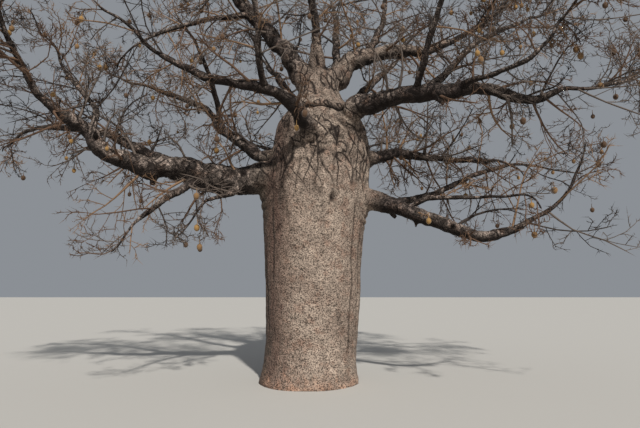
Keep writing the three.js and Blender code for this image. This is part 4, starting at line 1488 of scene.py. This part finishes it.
def make_skin():
    """The trunk's piece and the thick boughs' piece, cut from one skin."""
    places, faces = remeshed(*skin_base())
    relief, dark, on_limb, ease, paleness = skin_relief(places)
    directions = skin_normals(places, faces)
    # Painted shade under the boughs, added to the painted shade of the marks
    dark = np.clip(dark + ease * painted_under_shade(directions), 0, 1)
    places = places + directions * relief[:, None]
    places[:, 2] = np.where(places[:, 2] < FOOT_SNAP, 0, places[:, 2])
    normals = skin_normals(places, faces)
    # The top of the trunk takes the boughs' darker bark, partly as painted shade from the crown
    bough = np.maximum(ease * paleness, HIGH_BARK * np.interp(places[:, 2], HIGH_RANGE, (0, 1)))
    limb_face = on_limb[faces].sum(axis=1) >= LIMB_CORNERS
    for name, chosen, material, nodes, slot in (
        ("trunk_skin", ~limb_face, trunk_bark, ["trunk"], "trunk_bark"),
        ("bough_skin", limb_face, bough_bark, THICK_LIMBS, "bough_bark"),
    ):
        # The painted shade and the bough's share that each place carries
        corners, spots, directions, shade_values, shares = part_of(faces, chosen, places, normals, dark, bough)
        part = piece(name, spots, corners, [material], normals=directions, values=(shade_values, shares))
        finish_piece(part, nodes, slot)


def finish_piece(made, nodes, slot):
    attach(made, "root")
    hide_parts(*nodes)


def make_thin_boughs():
    """The boughs that are too thin for the skin, and the thin ends of those that are in it."""
    shapes = []
    darks = []
    for index, name in enumerate(LIMBS):
        thick = name in THICK_LIMBS
        if thick and lines[name][1][-1] >= THINNEST_SKIN:
            continue
        # Each thin bough comes with painted shade under it
        places, faces, dark = bark_sweep(*lines[name], THIN_RING, index, thick)
        shapes.append((places, faces))
        darks.append(dark)
    places, faces = joined(shapes)
    values = (np.concatenate(darks), np.ones(len(places)))
    made = piece("thin_boughs", places, faces, [bough_bark], values=values)
    finish_piece(made, list(LIMBS), "bough_bark")


def stem_with_foot(twig):
    """The stem of a mass, begun a little inside the bough that it grows on from."""
    heading = unit(twig.points[1] - twig.points[0])
    points = np.concatenate([[twig.points[0] - heading * STEM_SUNK], twig.points])
    return points, np.concatenate([[twig.radii[0]], twig.radii])


def make_crown(group, names, colours):
    """One piece of the crown: its stems with bark relief, and its twigs tube by tube."""
    twigs = [twig for name in names for twig in grown[name]]
    random = np.random.default_rng(len(names) + len(group))
    shapes = []
    tones = []
    darks = []
    shades = {}

    def keep(places, faces, tone, dark=0.0):
        shapes.append((places, faces))
        tones.append(np.broadcast_to(tone, (len(faces),)))
        darks.append(np.broadcast_to(dark, (len(places),)))

    for twig in twigs:
        if twig.order == 0:
            points, radii = stem_with_foot(twig)
            # The stem comes with painted shade under it; the twigs have none
            places, faces, dark = bark_sweep(points, radii, STEM_RING, twig.mass.seed, False)
            keep(places, faces, 0, dark)
        key = (twig.mass, twig.spray)
        if key not in shades:
            shades[key] = 1 + random.choice(len(TWIG_COLOURS), p=TWIG_SHARES)
    for order in range(1, len(TWIG_STEPS)):
        for rings in range(2, TWIG_STEPS[order] + 2):
            chosen = [twig for twig in twigs if twig.order == order and len(twig.points) == rings]
            if not chosen:
                continue
            rows = np.array([np.column_stack([twig.points, twig.radii]) for twig in chosen]) * MM
            if order in ROUNDED_ORDERS:
                rows = rounded(rows)
            centres, radii = rows[..., :3], rows[..., 3]
            radii = radii * (1 - TWIG_KNOBS * random.random(radii.shape))
            places, faces = tubes(centres, radii, TWIG_SIDES[order], True)
            tone = np.array([shades[(twig.mass, twig.spray)] for twig in chosen])
            keep(places, faces, tone[faces[:, 0] // (radii.shape[1] * TWIG_SIDES[order])])
            if order in SPURS_BY_ORDER:
                places, faces, owner = spurs(centres, SPURS_BY_ORDER[order], random)
                keep(places, faces, tone[owner])
    places, faces = joined(shapes)
    places = np.clip(places, BOX_LOW * MM, BOX_HIGH * MM)
    values = (np.concatenate(darks), np.ones(len(places)))
    made = piece(group, places, faces, [bough_bark, *colours], np.concatenate(tones), values=values)
    finish_piece(made, [f"{name}_twigs" for name in names], "twig_bark")


def fruit_spots():
    """Where fruit hangs: under the solids' own twigs as there, and under a few of the other ends."""
    random = np.random.default_rng(FRUIT_SEED)
    spots = []
    for twigs in grown.values():
        ends = [twig for twig in twigs if twig.own and twig.order == len(SOLID_TWIGS)]
        bearing = ends[::FRUIT_EVERY]
        others = [twig for twig in twigs if not twig.own and twig.order >= FRUIT_ORDER]
        picks = random.random(len(others)) < MORE_FRUIT
        for twig in bearing + [twig for twig, picked in zip(others, picks) if picked]:
            top = twig.points[-1]
            size = random.uniform(*FRUIT_SIZES)
            low = top - np.array([0, 0, STALK_LENGTH + 2 * FRUIT_HALF_LENGTH * size])
            roomy = twig.mass.inside(low, 0) and within_box(low, FRUIT_HALF_WIDTH)
            if roomy and obstacles.clear(top, low, FRUIT_HALF_WIDTH, ""):
                spots.append((top, size))
    return spots


def fruit_parts(top, size, random):
    """A stalk and the oval fruit under it, as places and triangles in metres."""
    sway = random.uniform(-1, 1, 2) * STALK_LENGTH * STALK_SWAY
    middle = top + np.array([sway[0], sway[1], -STALK_LENGTH / 2])
    bottom = top - np.array([0, 0, STALK_LENGTH])
    line = np.array([top, middle, bottom])
    stalk = one_tube(line, np.array(STALK_TAPER) * STALK_RADIUS, STALK_SIDES, False)
    share = np.linspace(0, 1, FRUIT_RINGS)
    centres = bottom + np.array([0, 0, -1]) * (share[:, None] * 2 - FRUIT_TUCK) * FRUIT_HALF_LENGTH * size
    around = np.sqrt(np.clip(1 - (2 * share - 1) ** 2, 0, 1)) * (1 + FRUIT_TOP_HEAVY * (0.5 - share))
    radii = np.maximum(around, FRUIT_TIP) * FRUIT_HALF_WIDTH * size
    places, faces = one_tube(centres, radii, FRUIT_SIDES, False)
    middle = np.repeat(centres * MM, FRUIT_SIDES, axis=0)
    turn = np.tile(np.arange(FRUIT_SIDES) * 2 * math.pi / FRUIT_SIDES, FRUIT_RINGS)
    ridges = 1 + FRUIT_RIDGE_DEPTH * np.cos(FRUIT_RIDGES * turn) + DENTS.at(places, *FRUIT_DENT)
    return joined([stalk, (middle + (places - middle) * ridges[:, None], faces)])


def make_fruit():
    """Every fruit, in one piece for each colour."""
    spots = fruit_spots()
    random = np.random.default_rng(FRUIT_SEED + 1)
    kinds = random.choice(len(FRUIT_COLOURS), len(spots), p=FRUIT_SHARES)
    for kind, (name, colour) in enumerate(FRUIT_COLOURS.items()):
        shapes = [fruit_parts(*spot, random) for spot, own_kind in zip(spots, kinds) if own_kind == kind]
        made = piece(name, *joined(shapes), [plain_finish(name, colour, *FRUIT_SURFACE)])
        finish_piece(made, [f"{limb}_twigs" for limb in LIMBS], "twig_bark")


trunk_bark = bark_finish("trunk_bark")
bough_bark = bark_finish("bough_bark")
twig_colours = [plain_finish(name, colour, *TWIG_SURFACE) for name, colour in TWIG_COLOURS.items()]
grown = {mass.limb: grow_mass(mass) + grow_shoots(mass.limb, index) for index, mass in enumerate(masses)}
make_skin()
make_thin_boughs()
for group, names in GROUPS.items():
    make_crown(group, names, twig_colours)
make_fruit()


# Stage, light and camera

corners = FLOOR_HALF * np.array([(-1, -1, 0), (1, -1, 0), (1, 1, 0), (-1, 1, 0)])
floor = piece("floor", corners, np.array([[0, 1, 2, 3]]),
              [plain_finish("pale_floor", FLOOR_COLOUR, *FLOOR_SURFACE)])

key_data = bpy.data.lights.new("key", "SUN")
key_data.energy = KEY_STRENGTH
key_data.angle = math.radians(KEY_SOFTNESS)
key_data.color = KEY_COLOUR
key = linked("key", key_data)
key.rotation_euler = Vector(KEY_FROM).to_track_quat("Z", "Y").to_euler()

world = bpy.data.worlds.new("studio")
world.use_nodes = True
world.node_tree.nodes["Background"].inputs["Color"].default_value = opaque(WORLD_COLOUR)
world.node_tree.nodes["Background"].inputs["Strength"].default_value = WORLD_STRENGTH
bpy.context.scene.world = world
bpy.context.scene.view_settings.view_transform = "Standard"

camera_data = bpy.data.cameras.new("camera")
camera_data.lens = CAMERA_LENS
camera_data.sensor_width = CAMERA_SENSOR
camera_data.sensor_fit = "HORIZONTAL"
camera_data.clip_end = CAMERA_FAR
camera = linked("camera", camera_data)
camera.location = CAMERA_PLACE
camera.rotation_euler = (math.radians(90 + CAMERA_RISE), 0, 0)
bpy.context.scene.camera = camera
